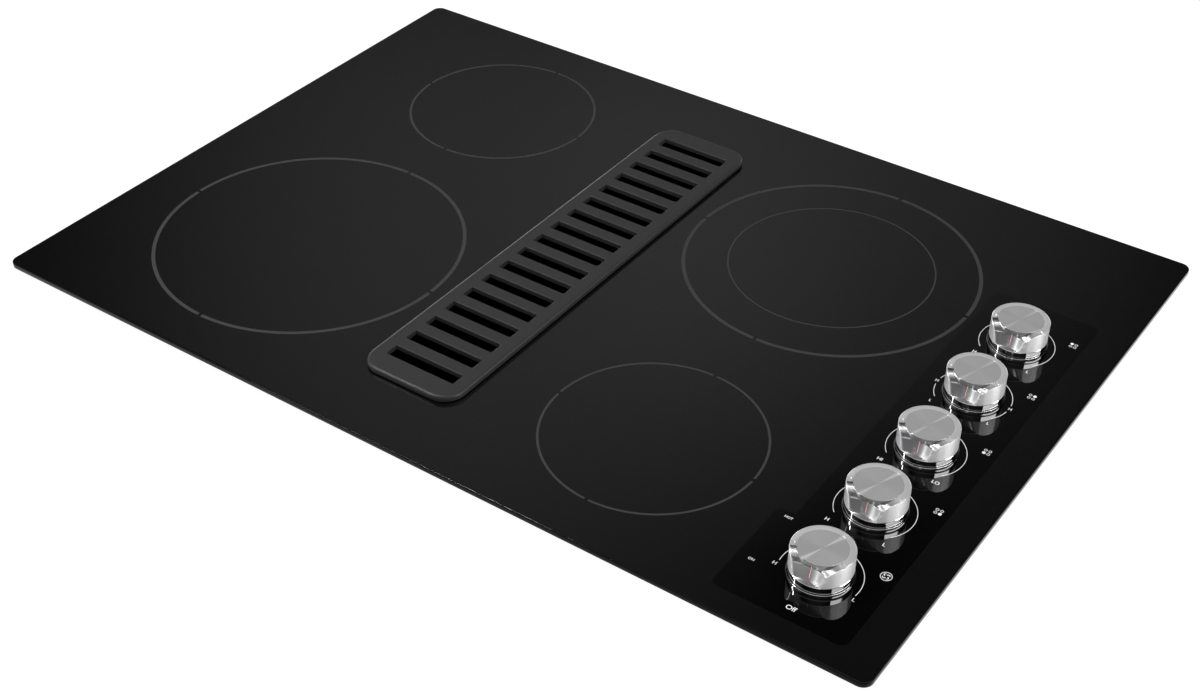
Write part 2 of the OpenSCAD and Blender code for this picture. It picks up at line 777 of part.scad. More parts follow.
// Leaf springs between the box floor and each pan.
module pan_springs() {
    h = pan_low - box_floor;
    color("#b0b4b8")
    for (i = [0 : 3], a = [60, 180, 300]) {
        r = (zones[i][2] - pan_margin) * 0.6;
        translate([zones[i][0], zones[i][1], box_floor]) rotate([0, 0, a + zones[i][3]])
            translate([r, 9, 0]) rotate([90, 0, 0]) linear_extrude(18)
                polygon([
                    [-14, 0], [2, 0], [12, h - 1.2], [26, h - 1.2], [26, h], [11, h],
                    [1, 1.2], [-14, 1.2]
                ]);
    }
}

// A switch body with the round space that its drum turns in, and its four blades.
module switch_body(i) {
    color("#d8d4c4")
    translate([knob_x, knob_y(i), 0])
    difference() {
        union() {
            translate([-switch_w / 2, -switch_d / 2, switch_low])
                cube([switch_w, switch_d, switch_h]);
            for (sx = [-1, 1], sy = [-1, 1])
                translate([sx * 11 - 3.15, sy * 10 - 0.4, switch_low - 8]) cube([6.3, 0.8, 9]);
        }
        translate([0, 0, drum_low])
            cylinder(r = drum_r + drum_gap, h = drum_top - drum_low);
        translate([0, 0, drum_top - cut])
            cylinder(r = neck_r + fit_gap, h = switch_wall + 2 * cut);
        for (sy = [-1, 1])
            translate([0, sy * switch_screw_y, carrier_low - 9])
                cylinder(r = screw_r + screw_gap, h = 10);
    }
}

// The outline of the shaft, a circle with a flat, grown by gap.
module shaft_outline(gap) {
    intersection() {
        circle(shaft_r + gap);
        translate([-shaft_r - 1, -shaft_r - 1])
            square([2 * shaft_r + 2, shaft_r + 1 + shaft_flat + gap]);
    }
}

module drum(i) {
    color("#e8e6dd")
    translate([knob_x, knob_y(i), 0])
    difference() {
        union() {
            translate([0, 0, drum_low + drum_gap])
                cylinder(r = drum_r, h = drum_top - drum_low - 2 * drum_gap);
            translate([0, 0, drum_low + drum_gap])
                cylinder(r = neck_r, h = carrier_top - drum_low - drum_gap);
        }
        translate([0, 0, -shaft_drop - push_travel - 1])
            linear_extrude(shaft_drop + push_travel + 1) shaft_outline(fit_gap);
    }
}

module knob_shaft(i) {
    color("#b9bcc0")
    translate([knob_x, knob_y(i), -shaft_drop])
        linear_extrude(shaft_drop + knob_top - 8) shaft_outline(0);
}

// The space that the scoop takes from the front of a knob.
module knob_scoop() {
    low = knob_low + scoop_foot;
    high = knob_top - disc_t;
    low_r = scoop_axis - scoop_low_y;
    high_r = scoop_axis - scoop_high_y;
    translate([0, -scoop_axis, 0])
        rotate_extrude() polygon([[0, low], [low_r, low], [high_r, high], [0, high]]);
    difference() {
        translate([0, -scoop_axis, 0])
            rotate_extrude() polygon([
                [0, high - flare_h],
                for (a = [0 : 10 : 90])
                    [high_r + flare_w * (1 - cos(a)), high - flare_h * (1 - sin(a))],
                [0, high]
            ]);
        translate([0, 0, low]) cylinder(r = disc_seat_r, h = knob_h);
    }
}

// The metal knob: a shell with a boss on the shaft, a finger scoop in front, and a thin
// brushed disc on top that stands out over the scoop.
module knob(i) {
    shoulder_r = knob_r - knob_top_r;
    shell_h = knob_top - knob_low;
    color("#d4d6d9")
    translate([knob_x, knob_y(i), 0]) {
        difference() {
            union() {
                translate([0, 0, knob_low])
                    cylinder(r = knob_r, h = shell_h - knob_shoulder);
                translate([0, 0, knob_top - knob_shoulder])
                    rotate_extrude() polygon([
                        [0, 0],
                        for (a = [0 : 10 : 90])
                            [knob_top_r + shoulder_r * cos(a), knob_shoulder * sin(a)],
                        [0, knob_shoulder]
                    ]);
            }
            difference() {
                union() {
                    translate([0, 0, knob_low - cut])
                        cylinder(r = knob_r - knob_wall, h = scoop_foot - knob_wall + cut);
                    translate([0, 0, knob_low - cut])
                        cylinder(r = scoop_high_y - knob_wall, h = shell_h - knob_wall + cut);
                }
                translate([0, 0, knob_low]) cylinder(r = shaft_r + 4, h = shell_h);
            }
            knob_scoop();
            translate([0, 0, knob_low - cut])
                linear_extrude(knob_top - 8 - knob_low + cut) shaft_outline(fit_gap);
        }
        translate([0, 0, knob_top - disc_t]) cylinder(r = knob_top_r, h = disc_t);
    }
}

module knob_rings() {
    inner = knob_r + ring_gap;
    color("#c9ccd0")
    for (i = [0 : knob_count - 1])
        translate([knob_x, knob_y(i), glass_top_z])
            difference() {
                cylinder(r = inner + ring_w, h = ring_h);
                translate([0, 0, -cut]) cylinder(r = inner, h = ring_h + 2 * cut);
            }
}

// The channel that carries the five switches and the two lamps.
module switch_carrier() {
    l = carrier_y1 - carrier_y0;
    color("#9ea2a6")
    difference() {
        union() {
            translate([knob_x - carrier_w / 2, carrier_y0, carrier_low])
                cube([carrier_w, l, carrier_t]);
            for (y = [carrier_y0, carrier_y1 - carrier_t])
                translate([knob_x - carrier_w / 2, y, box_floor])
                    cube([carrier_w, carrier_t, carrier_top - box_floor]);
            for (y = [carrier_y0 - 12, carrier_y1 - carrier_t])
                translate([knob_x - carrier_w / 2, y, box_floor])
                    cube([carrier_w, 12 + carrier_t, carrier_t]);
            for (y = lamp_ys)
                translate([lamp_x - tab_w / 2, y - tab_w / 2, carrier_low])
                    cube([knob_x - lamp_x, tab_w, carrier_t]);
        }
        for (i = [0 : knob_count - 1]) translate([knob_x, knob_y(i), carrier_low - cut]) {
            cylinder(r = neck_r + 1, h = carrier_t + 2 * cut);
            for (sy = [-1, 1])
                translate([0, sy * switch_screw_y, 0])
                    cylinder(r = screw_r + screw_gap, h = carrier_t + 2 * cut);
        }
        for (p = carrier_screws())
            translate([p[0], p[1], box_floor - cut])
                cylinder(r = screw_r + screw_gap, h = carrier_t + 2 * cut);
        translate([wire_x - bundle_r - 2, carrier_y1 - carrier_t - cut, box_floor - cut])
            cube([2 * bundle_r + 4, 12 + 2 * carrier_t + 2 * cut, 2 * bundle_r + 4]);
    }
}

module indicator_lamps() {
    color("#c23a2a")
    for (y = lamp_ys)
        translate([lamp_x, y, carrier_top])
            cylinder(r = lamp_r, h = glass_low - carrier_top - seat_gap);
}

module junction_box() {
    color("#8a8e93")
    translate([junction_x, junction_y, 0])
    difference() {
        plate(junction_w, junction_d, 3, -box_h - junction_h, junction_h);
        difference() {
            plate(junction_w - 2 * junction_t, junction_d - 2 * junction_t, 2,
                -box_h - junction_h - cut, junction_h - junction_t + cut);
            for (sx = [-1, 1])
                translate([sx * junction_w / 2 - junction_lug, -junction_lug / 2,
                    -box_h - junction_h])
                    cube([2 * junction_lug, junction_lug, junction_lug]);
        }
        translate([0, 0, -box_h - junction_t - cut])
            cylinder(r = bundle_r + 5, h = junction_t + 2 * cut);
        for (sx = [-1, 1])
            translate([sx * junction_screw_dx, 0, -box_h - junction_h - cut])
                cylinder(r = screw_r + screw_gap, h = junction_lug - 1);
    }
}

// The cover under the junction box, with the collar for the conduit.
module junction_cover() {
    top = -box_h - junction_h;
    color("#94989d")
    translate([junction_x, junction_y, 0])
    difference() {
        union() {
            plate(junction_w, junction_d, 3, top - junction_t, junction_t);
            translate([0, 0, top - conduit_l]) cylinder(r = conduit_r + 3, h = conduit_l);
        }
        translate([0, 0, top - conduit_l - cut]) cylinder(r = conduit_r, h = conduit_l + 2 * cut);
        for (sx = [-1, 1])
            translate([sx * junction_screw_dx, 0, top - junction_t - cut])
                cylinder(r = screw_r + screw_gap, h = junction_t + 2 * cut);
    }
}

// A wire bundle through a list of points, round at each bend.
module wire_run(points) {
    for (i = [0 : len(points) - 2]) {
        d = points[i + 1] - points[i];
        translate(points[i]) rotate([0, acos(d[2] / norm(d)), atan2(d[1], d[0])])
            cylinder(r = bundle_r, h = norm(d));
    }
    for (p = points) translate(p) sphere(bundle_r + 0.25);
}

// Wire bundles on the box floor, with a branch up to each switch and each limiter, and
// one down into the junction box.
module wiring_harness() {
    z = box_floor + bundle_r + 0.3;
    up = limiter_z - 2;
    back_y = box_d / 2 - 14;
    left_x = -box_w / 2 + 14;
    front_y = knob_front_y - switch_d / 2 - bundle_r - 4;
    ends = [for (i = [0 : 3]) limiter_end(i)];
    color("#b8b2a4")
    union() {
        wire_run([[left_x, ends[LEFT_FRONT][1], z], [left_x, back_y, z], [wire_x, back_y, z],
            [wire_x, front_y, z], [wire_x, front_y, wire_turn_z],
            [ends[RIGHT_FRONT][0] + 2, front_y, wire_turn_z],
            [ends[RIGHT_FRONT][0] + 2, ends[RIGHT_FRONT][1], wire_turn_z],
            [ends[RIGHT_FRONT][0] + 2, ends[RIGHT_FRONT][1], up - 2]]);
        for (i = [LEFT_REAR, LEFT_FRONT])
            wire_run([[left_x, ends[i][1], z], [left_x, ends[i][1], up],
                [ends[i][0], ends[i][1], up]]);
        wire_run([[ends[RIGHT_REAR][0], back_y, z], [ends[RIGHT_REAR][0], back_y, up],
            [ends[RIGHT_REAR][0], ends[RIGHT_REAR][1], up]]);
        for (i = [0 : knob_count - 1])
            wire_run([[wire_x, knob_y(i), z], [wire_x, knob_y(i), switch_low - seat_gap - bundle_r]]);
        wire_run([[junction_x, back_y, z], [junction_x, junction_y, z],
            [junction_x, junction_y, -box_h - junction_h / 2]]);
    }
}

// Where a wire bundle meets the outer end of a limiter's head.
function limiter_end(i) = let (r = zones[i][2] + limiter_head + bundle_r + 1.5)
    [zones[i][0] + r * cos(zones[i][3]), zones[i][1] + r * sin(zones[i][3])];

module hold_down_brackets() {
    color("#a8acb0")
    for (sx = [-1, 1], a = [0, 180])
        rotate([0, 0, a]) translate([sx * hold_x, box_d / 2, -hold_drop])
            difference() {
                union() {
                    translate([-hold_w / 2, 0, 0]) cube([hold_w, hold_reach, hold_t]);
                    translate([-hold_w / 2, 0, 0]) cube([hold_w, hold_t, hold_rise]);
                }
                translate([0, hold_screw_out, -cut])
                    cylinder(r = screw_r + 0.5 + screw_gap, h = hold_t + 2 * cut);
                bar_y(0, -cut, hold_fix, screw_r + screw_gap, hold_t + 2 * cut);
            }
}

// The scroll's outline about the blower's axis, grown by wall, down to low.
module scroll_outline(wall, low) {
    intersection() {
        circle(scroll_r + wall);
        translate([-2 * scroll_r, -2 * scroll_r]) square(2 * scroll_r);
    }
    translate([scroll_step, 0]) intersection() {
        circle(scroll_top_r + wall);
        translate([-3 * scroll_r, 0]) square(3 * scroll_r);
    }
    translate([scroll_step, -scroll_step]) intersection() {
        circle(scroll_far_r + wall);
        square(3 * scroll_r);
    }
    translate([0, -scroll_step]) square([2 * scroll_step, 2 * scroll_step]);
    translate([mouth_low_y - wall, low])
        square([mouth_high_y - mouth_low_y + 2 * wall, -scroll_step - low]);
}

// A flat side of the housing, from x, with a round hole in it.
module housing_side(x, hole_r) {
    difference() {
        translate([0, vent_y, axis_z])
            along_x(x, housing_wall) scroll_outline(housing_wall, -blower_outlet());
        bar_x(x - cut, vent_y, axis_z, hole_r, housing_wall + 2 * cut);
        for (a = [45 : 90 : 315])
            bar_x(chamber_out - cut, vent_y + inlet_screw_r * cos(a),
                axis_z + inlet_screw_r * sin(a), screw_r + screw_gap, housing_wall + 2 * cut);
        for (a = [90, 210, 330])
            bar_x(housing_out - housing_wall - cut, vent_y + (bracket_r - 7) * cos(a),
                axis_z + (bracket_r - 7) * sin(a), screw_r + screw_gap, housing_wall + 2 * cut);
    }
}

// The scroll housing: two flat sides, the strip that is bent round between them, and the
// square flange round its mouth.
module blower_housing() {
    wrap_x = chamber_out + housing_wall + fold_gap;
    wrap_w = housing_w - 2 * housing_wall - 2 * fold_gap;
    mouth_d = mouth_high_y - mouth_low_y + 2 * housing_wall;
    color("#8c9095") {
        housing_side(chamber_out, inlet_r + inlet_hole_gap);
        housing_side(housing_out - housing_wall, motor_r + 1);
        translate([0, vent_y, axis_z]) difference() {
            along_x(wrap_x, wrap_w) scroll_outline(housing_wall, -blower_outlet());
            along_x(wrap_x - cut, wrap_w + 2 * cut) scroll_outline(0, -blower_outlet() - cut);
        }
        difference() {
            translate([outlet_x - outlet_side / 2, outlet_y - outlet_side / 2, outlet_z])
                cube([outlet_side, outlet_side, flange_t]);
            translate([chamber_out - fold_gap, vent_y + mouth_low_y - housing_wall - fold_gap,
                outlet_z - cut])
                cube([housing_w + 2 * fold_gap, mouth_d + 2 * fold_gap, flange_t + 2 * cut]);
            for (p = outlet_screws())
                translate([p[0], p[1], outlet_z - cut])
                    cylinder(r = screw_r + screw_gap, h = flange_t + 2 * cut);
        }
    }
}

function blower_outlet() = outlet_drop - blower_drop;
function outlet_screws() = [
    for (sx = [-1, 1], sy = [-1, 1])
        [outlet_x + sx * (outlet_side / 2 - 8), outlet_y + sy * (outlet_side / 2 - 8)]
];

// The bell-mouthed ring that leads the air from the chamber into the wheel.
module inlet_ring() {
    x0 = chamber_x - 1;
    l = wheel_gap + 1 + chamber_wall + housing_wall - 3;
    color("#7d8186")
    translate([x0, vent_y, axis_z]) rotate([0, 90, 0])
        difference() {
            union() {
                cylinder(r = inlet_r, h = l);
                cylinder(r = inlet_r + inlet_flange, h = 1);
            }
            translate([0, 0, -cut]) cylinder(r = inlet_r - inlet_wall, h = l + 2 * cut);
            for (a = [45 : 90 : 315])
                rotate([0, 0, a]) translate([inlet_screw_r, 0, -cut])
                    cylinder(r = screw_r + screw_gap, h = 1 + 2 * cut);
        }
}

// The squirrel-cage wheel: a back plate with a hub, a front ring, and slanted blades that
// are folded into both.
module blower_wheel() {
    blade_low = wheel_ring + fold_gap;
    blade_high = wheel_w - wheel_plate - fold_gap;
    color("#a9adb1")
    translate([wheel_x, vent_y, axis_z]) rotate([0, 90, 0]) {
        difference() {
            union() {
                translate([0, 0, wheel_w - wheel_plate]) cylinder(r = wheel_r, h = wheel_plate);
                translate([0, 0, wheel_w - hub_l]) cylinder(r = hub_r, h = hub_l);
            }
            translate([0, 0, wheel_w - hub_l - cut])
                cylinder(r = motor_shaft_r, h = hub_l + 2 * cut);
        }
        difference() {
            cylinder(r = wheel_r, h = wheel_ring);
            translate([0, 0, -cut])
                cylinder(r = wheel_r - blade_depth, h = wheel_ring + 2 * cut);
        }
        for (k = [0 : blade_count - 1])
            rotate([0, 0, k * 360 / blade_count])
                translate([wheel_r - blade_depth + 1, 0, blade_low]) rotate([0, 0, blade_slant])
                    translate([0, -blade_sheet / 2, 0])
                        cube([blade_depth - 2, blade_sheet, blade_high - blade_low]);
    }
}

module motor_shaft() {
    x0 = wheel_back - hub_l;
    color("#c4c7ca")
    union() {
        bar_x(x0, vent_y, axis_z, motor_shaft_r, motor_out - motor_end - x0 - 1);
        bar_x(rotor_x0, vent_y, axis_z, rotor_r, rotor_x1 - rotor_x0);
    }
}

// The motor: a round can with a bearing wall at each end and the stator round the rotor.
module motor_shell() {
    color("#33363a")
    difference() {
        bar_x(bracket_out, vent_y, axis_z, motor_r, motor_l);
        bar_x(bracket_out + motor_end, vent_y, axis_z, rotor_r + rotor_gap,
            motor_l - 3 * motor_end);
        bar_x(bracket_out - cut, vent_y, axis_z, motor_shaft_r + fit_gap,
            motor_l - motor_end + cut);
        for (a = [30, 150, 270])
            bar_x(bracket_out - cut, vent_y + (motor_r - 6) * cos(a),
                axis_z + (motor_r - 6) * sin(a), screw_r + screw_gap, 7);
    }
}

module motor_bracket() {
    color("#7f8388")
    difference() {
        bar_x(housing_out, vent_y, axis_z, bracket_r, bracket_t);
        bar_x(housing_out - cut, vent_y, axis_z, motor_shaft_r + 6, bracket_t + 2 * cut);
        for (a = [90, 210, 330])
            bar_x(housing_out - cut, vent_y + (bracket_r - 7) * cos(a),
                axis_z + (bracket_r - 7) * sin(a), screw_r + screw_gap, bracket_t + 2 * cut);
        for (a = [30, 150, 270])
            bar_x(housing_out - cut, vent_y + (motor_r - 6) * cos(a),
                axis_z + (motor_r - 6) * sin(a), screw_r + screw_gap, bracket_t + 2 * cut);
    }
}

// The round collar that the duct slides over, on a square flange, with the pin's bosses.
module outlet_collar() {
    color("#a2a6aa")
    difference() {
        union() {
            translate([outlet_x - outlet_side / 2, outlet_y - outlet_side / 2,
                collar_top - flange_t]) cube([outlet_side, outlet_side, flange_t]);
            translate([outlet_x, outlet_y, collar_low])
                cylinder(r = collar_r, h = collar_top - collar_low);
        }
        difference() {
            translate([outlet_x, outlet_y, collar_low - cut])
                cylinder(r = collar_r - collar_wall, h = collar_top - collar_low + 2 * cut);
            for (s = [-1, 1])
                bar_y(outlet_x, outlet_y + s * (collar_r - boss_l / 2) - boss_l / 2, damper_z,
                    damper_pin_r + 2, boss_l);
        }
        bar_y(outlet_x, outlet_y - collar_r - 4, damper_z, damper_pin_r + fit_gap,
            2 * collar_r + 8);
        for (p = outlet_screws())
            translate([p[0], p[1], collar_top - flange_t - cut])
                cylinder(r = screw_r + screw_gap, h = flange_t + 2 * cut);
    }
}

module damper_pin() {
    color("#b7babd")
    bar_y(outlet_x, outlet_y - collar_r + 0.4, damper_z, damper_pin_r, 2 * collar_r - 0.8);
}

// Half of the round damper: a half disc with knuckles on the pin. side is -1 or 1.
// The left flap holds the even knuckles and the right flap the odd ones.
module damper_flap(side) {
    knuckles = [-2, -1, 0, 1, 2];
    color("#b4b8bb")
    translate([outlet_x, outlet_y, damper_z])
    difference() {
        union() {
            difference() {
                translate([0, 0, -flap_t / 2]) cylinder(r = flap_r, h = flap_t);
                translate([side > 0 ? -2 * flap_r : 0, -2 * flap_r, -flap_t])
                    cube([2 * flap_r, 4 * flap_r, 2 * flap_t]);
                translate([-knuckle_r - 0.6, -2 * flap_r, -flap_t])
                    cube([2 * knuckle_r + 1.2, 4 * flap_r, 2 * flap_t]);
            }
            for (k = knuckles)
                if ((k % 2 == 0) == (side < 0)) {
                    bar_y(0, (k - 0.5) * knuckle_l + 0.3, 0, knuckle_r, knuckle_l - 0.6);
                    translate([side > 0 ? 0 : -knuckle_r - 1, (k - 0.5) * knuckle_l + 0.3,
                        -flap_t / 2]) cube([knuckle_r + 1, knuckle_l - 0.6, flap_t]);
                }
        }
        bar_y(0, -flap_r, 0, damper_pin_r + fit_gap, 2 * flap_r);
    }
}

// The motor's run capacitor on its foot, screwed to the left wall of the chamber.
module capacitor() {
    wall_x = vent_x - chamber_w / 2 - chamber_wall;
    color("#3a3d41")
    translate([wall_x, vent_y + 60, -blower_drop])
    union() {
        translate([-capacitor_r - capacitor_foot, 0, 0])
            cylinder(r = capacitor_r, h = capacitor_l);
        translate([-2 * capacitor_foot, -capacitor_r * 0.7, 6])
            cube([2 * capacitor_foot, capacitor_r * 1.4, capacitor_l - 12]);
    }
}

// A screw with its head down along -Z from the point under the head.
module screw(l) {
    translate([0, 0, -head_h]) cylinder(r = head_r, h = head_h);
    cylinder(r = screw_r, h = l);
}

module screws() {
    color("#c0c3c6")
    union() {
        for (p = carrier_screws()) translate([p[0], p[1], -box_h]) screw(box_wall + carrier_t + 2);
        for (p = collar_screws()) translate([p[0], p[1], -box_h]) screw(box_wall + chamber_wall + 2);
        for (p = outlet_screws()) translate([p[0], p[1], collar_top - flange_t])
            screw(2 * flange_t + 2);
        for (i = [0 : knob_count - 1], sy = [-1, 1])
            translate([knob_x, knob_y(i) + sy * switch_screw_y, carrier_top])
                rotate([180, 0, 0]) screw(carrier_t + 7);
        for (a = [90, 210, 330])
            translate([bracket_out, vent_y + (bracket_r - 7) * cos(a),
                axis_z + (bracket_r - 7) * sin(a)]) rotate([0, -90, 0]) screw(bracket_t + 3);
        for (a = [30, 150, 270])
            translate([housing_out, vent_y + (motor_r - 6) * cos(a),
                axis_z + (motor_r - 6) * sin(a)]) rotate([0, 90, 0]) screw(bracket_t + 5);
        for (a = [45 : 90 : 315])
            translate([chamber_x - 1, vent_y + inlet_screw_r * cos(a),
                axis_z + inlet_screw_r * sin(a)]) rotate([0, 90, 0])
                screw(1 + chamber_wall + housing_wall + 1);
        for (sx = [-1, 1])
            translate([junction_x + sx * junction_screw_dx, junction_y,
                -box_h - junction_h - junction_t]) screw(junction_t + 6);
        for (sx = [-1, 1], a = [0, 180])
            rotate([0, 0, a]) translate([sx * hold_x, box_d / 2 + hold_t, hold_fix - hold_drop])
                rotate([90, 0, 0]) screw(hold_t + 3);
        for (sx = [-1, 1], a = [0, 180])
            rotate([0, 0, a]) translate([sx * hold_x, box_d / 2 + hold_screw_out, 0]) {
                translate([0, 0, -hold_drop - hold_screw_gap - head_h])
                    cylinder(r = head_r, h = head_h);
                translate([0, 0, -hold_drop - hold_screw_gap])
                    cylinder(r = screw_r + 0.5, h = hold_drop - worktop_t + hold_screw_gap);
            }
    }
}

// The grille's plate, with its upper edge rounded.
module grille_plate() {
    r = grille_corner_r;
    e = grille_edge_r;
    low = grille_t - e;
    plate(grille_w, grille_d, r, 0, low);
    plate(grille_w - 2 * e, grille_d - 2 * e, r - e, 0, grille_t);
    for (s = [-1, 1]) {
        bar_y(s * (grille_w / 2 - e), -grille_d / 2 + r, low, e, grille_d - 2 * r);
        bar_x(-grille_w / 2 + r, s * (grille_d / 2 - e), low, e, grille_w - 2 * r);
    }
    for (sx = [-1, 1], sy = [-1, 1])
        translate([sx * (grille_w / 2 - r), sy * (grille_d / 2 - r), low])
            rotate_extrude() translate([r - e, 0]) intersection() {
                circle(e);
                square(2 * e);
            }
}

module vent_grille() {
    color("#3c3d40")
    translate([vent_x, vent_y, grille_low])
    difference() {
        union() {
            difference() {
                grille_plate();
                translate([0, 0, -3]) cube([grille_w + 10, grille_d + 10, 6], center = true);
            }
            frame_plate(skirt_w, skirt_d, opening_r - skirt_gap, skirt_wall, -skirt_h,
                skirt_h + 1);
            for (i = [0 : slot_count - 2])
                translate([-skirt_w / 2 + 1, slot_place(i) - vent_y + slot_pitch / 2 - blade_t / 2,
                    -skirt_h + 2]) cube([skirt_w - 2, blade_t, skirt_h]);
        }
        for (i = [0 : slot_count - 1])
            translate([0, slot_place(i) - vent_y, 0])
                plate(slot_x, slot_y, 1.5, -cut, grille_t + 2 * cut);
    }
}

module grille_pads() {
    color("#26272a")
    for (sx = [-1, 1], k = [0 : pad_count - 1])
        translate([vent_x + sx * (grille_w - grille_lap) / 2 - pad_w / 2,
            vent_y + (k - (pad_count - 1) / 2) * pad_pitch - pad_l / 2, grille_low - pad_t])
            cube([pad_w, pad_l, pad_t]);
}

// Moves to the middle of the filter and tilts to its slope.
module at_filter() {
    translate([vent_x, vent_y, filter_z]) rotate([0, -filter_angle, 0]) children();
}

module filter_frame() {
    color("#a7abae")
    at_filter()
    difference() {
        cube([filter_w, filter_d, filter_t], center = true);
        cube([filter_w - 2 * filter_border, filter_d - 2 * filter_border, filter_t + 2 * cut],
            center = true);
    }
}

module filter_mesh() {
    color("#8e9296")
    at_filter()
        cube([filter_w - 2 * filter_border, filter_d - 2 * filter_border, mesh_t],
            center = true);
}

glass_top();
rim_gasket();
burner_box();
vent_seal();
air_chamber();
filter_ledges();
pan(LEFT_REAR);  // pan_left_rear
pan(LEFT_FRONT);  // pan_left_front
pan(RIGHT_REAR);  // pan_right_rear
pan(RIGHT_FRONT);  // pan_right_front
insulation();
ribbon(LEFT_REAR);  // ribbon_left_rear
ribbon(LEFT_FRONT);  // ribbon_left_front
ribbon(RIGHT_REAR);  // ribbon_right_rear
ribbon(RIGHT_FRONT);  // ribbon_right_front
limiters();
pan_springs();
switch_body(0);  // fan_switch
switch_body(1);  // right_front_switch
switch_body(2);  // left_front_switch
switch_body(3);  // right_rear_switch
switch_body(4);  // left_rear_switch
switch_carrier();
knob_rings();
indicator_lamps();
junction_box();
junction_cover();
wiring_harness();
hold_down_brackets();
blower_housing();
inlet_ring();
motor_shell();
motor_bracket();
outlet_collar();
capacitor();
damper_pin();
screws();
vent_grille();
grille_pads();
filter_frame();
filter_mesh();
blower_wheel();
motor_shaft();
damper_flap(-1);  // damper_flap_left
damper_flap(1);  // damper_flap_right
drum(0);  // fan_drum
drum(1);  // right_front_drum
drum(2);  // left_front_drum
drum(3);  // right_rear_drum
drum(4);  // left_rear_drum
knob_shaft(0);  // fan_shaft
knob_shaft(1);  // right_front_shaft
knob_shaft(2);  // left_front_shaft
knob_shaft(3);  // right_rear_shaft
knob_shaft(4);  // left_rear_shaft
knob(0);  // fan_knob
knob(1);  // right_front_knob
knob(2);  // left_front_knob
knob(3);  // right_rear_knob
knob(4);  // left_rear_knob
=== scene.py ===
# %% [markdown]
# # Dressing an electric downdraft cooktop
# This lesson gives them their looks. It carries most of the solids over as they are, with
# a new finish, and models again the pieces that the eye rests on: the black glass, the
# cast grille and the five metal knobs.
#
# Every piece is measured in metres in the cooktop's own frame. Its origin is the middle of
# the worktop cut-out, X runs to the right, Y to the back and Z up.

# %% Load the frame
import json
import math

import bmesh
import bpy
from mathutils import Matrix, Vector


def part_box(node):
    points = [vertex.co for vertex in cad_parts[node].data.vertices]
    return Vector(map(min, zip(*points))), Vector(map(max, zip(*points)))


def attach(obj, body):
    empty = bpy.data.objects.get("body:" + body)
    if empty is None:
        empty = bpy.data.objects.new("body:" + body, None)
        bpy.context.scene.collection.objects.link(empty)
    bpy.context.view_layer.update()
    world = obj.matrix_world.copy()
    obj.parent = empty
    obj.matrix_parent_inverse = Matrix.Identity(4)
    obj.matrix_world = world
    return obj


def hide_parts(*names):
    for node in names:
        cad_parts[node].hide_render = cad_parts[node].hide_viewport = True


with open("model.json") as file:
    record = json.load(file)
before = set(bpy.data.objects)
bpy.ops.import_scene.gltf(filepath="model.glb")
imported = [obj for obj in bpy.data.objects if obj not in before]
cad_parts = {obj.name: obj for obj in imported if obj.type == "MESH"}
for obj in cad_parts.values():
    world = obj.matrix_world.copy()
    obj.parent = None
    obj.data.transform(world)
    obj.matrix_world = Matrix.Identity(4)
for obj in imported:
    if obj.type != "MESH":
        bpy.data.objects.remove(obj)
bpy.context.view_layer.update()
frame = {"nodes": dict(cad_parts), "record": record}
MM = 0.001


def stand(name, data):
    """A new object of some data, linked into the scene."""
    made = bpy.data.objects.new(name, data)
    bpy.context.scene.collection.objects.link(made)
    return made


# %% [markdown]
# ## The camera
# The cooktop was photographed from over its front right corner. The four sharp corners of a
# glass of known size are enough to find such a camera: where it stood, where it looked and
# how long its lens was. Its numbers are written here as a place, three directions and a
# lens, because a camera's matrix is made of just these.

# %% Place the camera
CAMERA_PLACE = Vector((0.68211, -0.98440, 0.84359))
CAMERA_RIGHT = Vector((0.81911, 0.57361, 0.00603))
CAMERA_DOWN = Vector((0.35357, -0.49656, -0.79273))
SENSOR_WIDTH = 36.0
LENS = 54.246

camera_data = bpy.data.cameras.new("camera")
camera_data.sensor_width = SENSOR_WIDTH
camera_data.lens = LENS
camera_data.clip_start = 0.01
camera_data.clip_end = 50
camera = stand("camera", camera_data)
camera_up = -CAMERA_DOWN
camera_back = CAMERA_RIGHT.cross(camera_up)
turn = Matrix((CAMERA_RIGHT, camera_up, camera_back)).transposed()
camera.matrix_world = Matrix.Translation(CAMERA_PLACE) @ turn.to_4x4()
bpy.context.scene.camera = camera
bpy.context.scene.view_settings.view_transform = "Standard"
print("camera at", tuple(round(v, 3) for v in CAMERA_PLACE), "lens", LENS)

# %% [markdown]
# ## Writing shaders as sums
# A finish in Blender is a web of nodes, and a long formula becomes unreadable as separate
# Math nodes. The class below wraps one output socket. Adding or multiplying two of them adds
# the Math nodes, and every other kind of node comes from the one method called node.

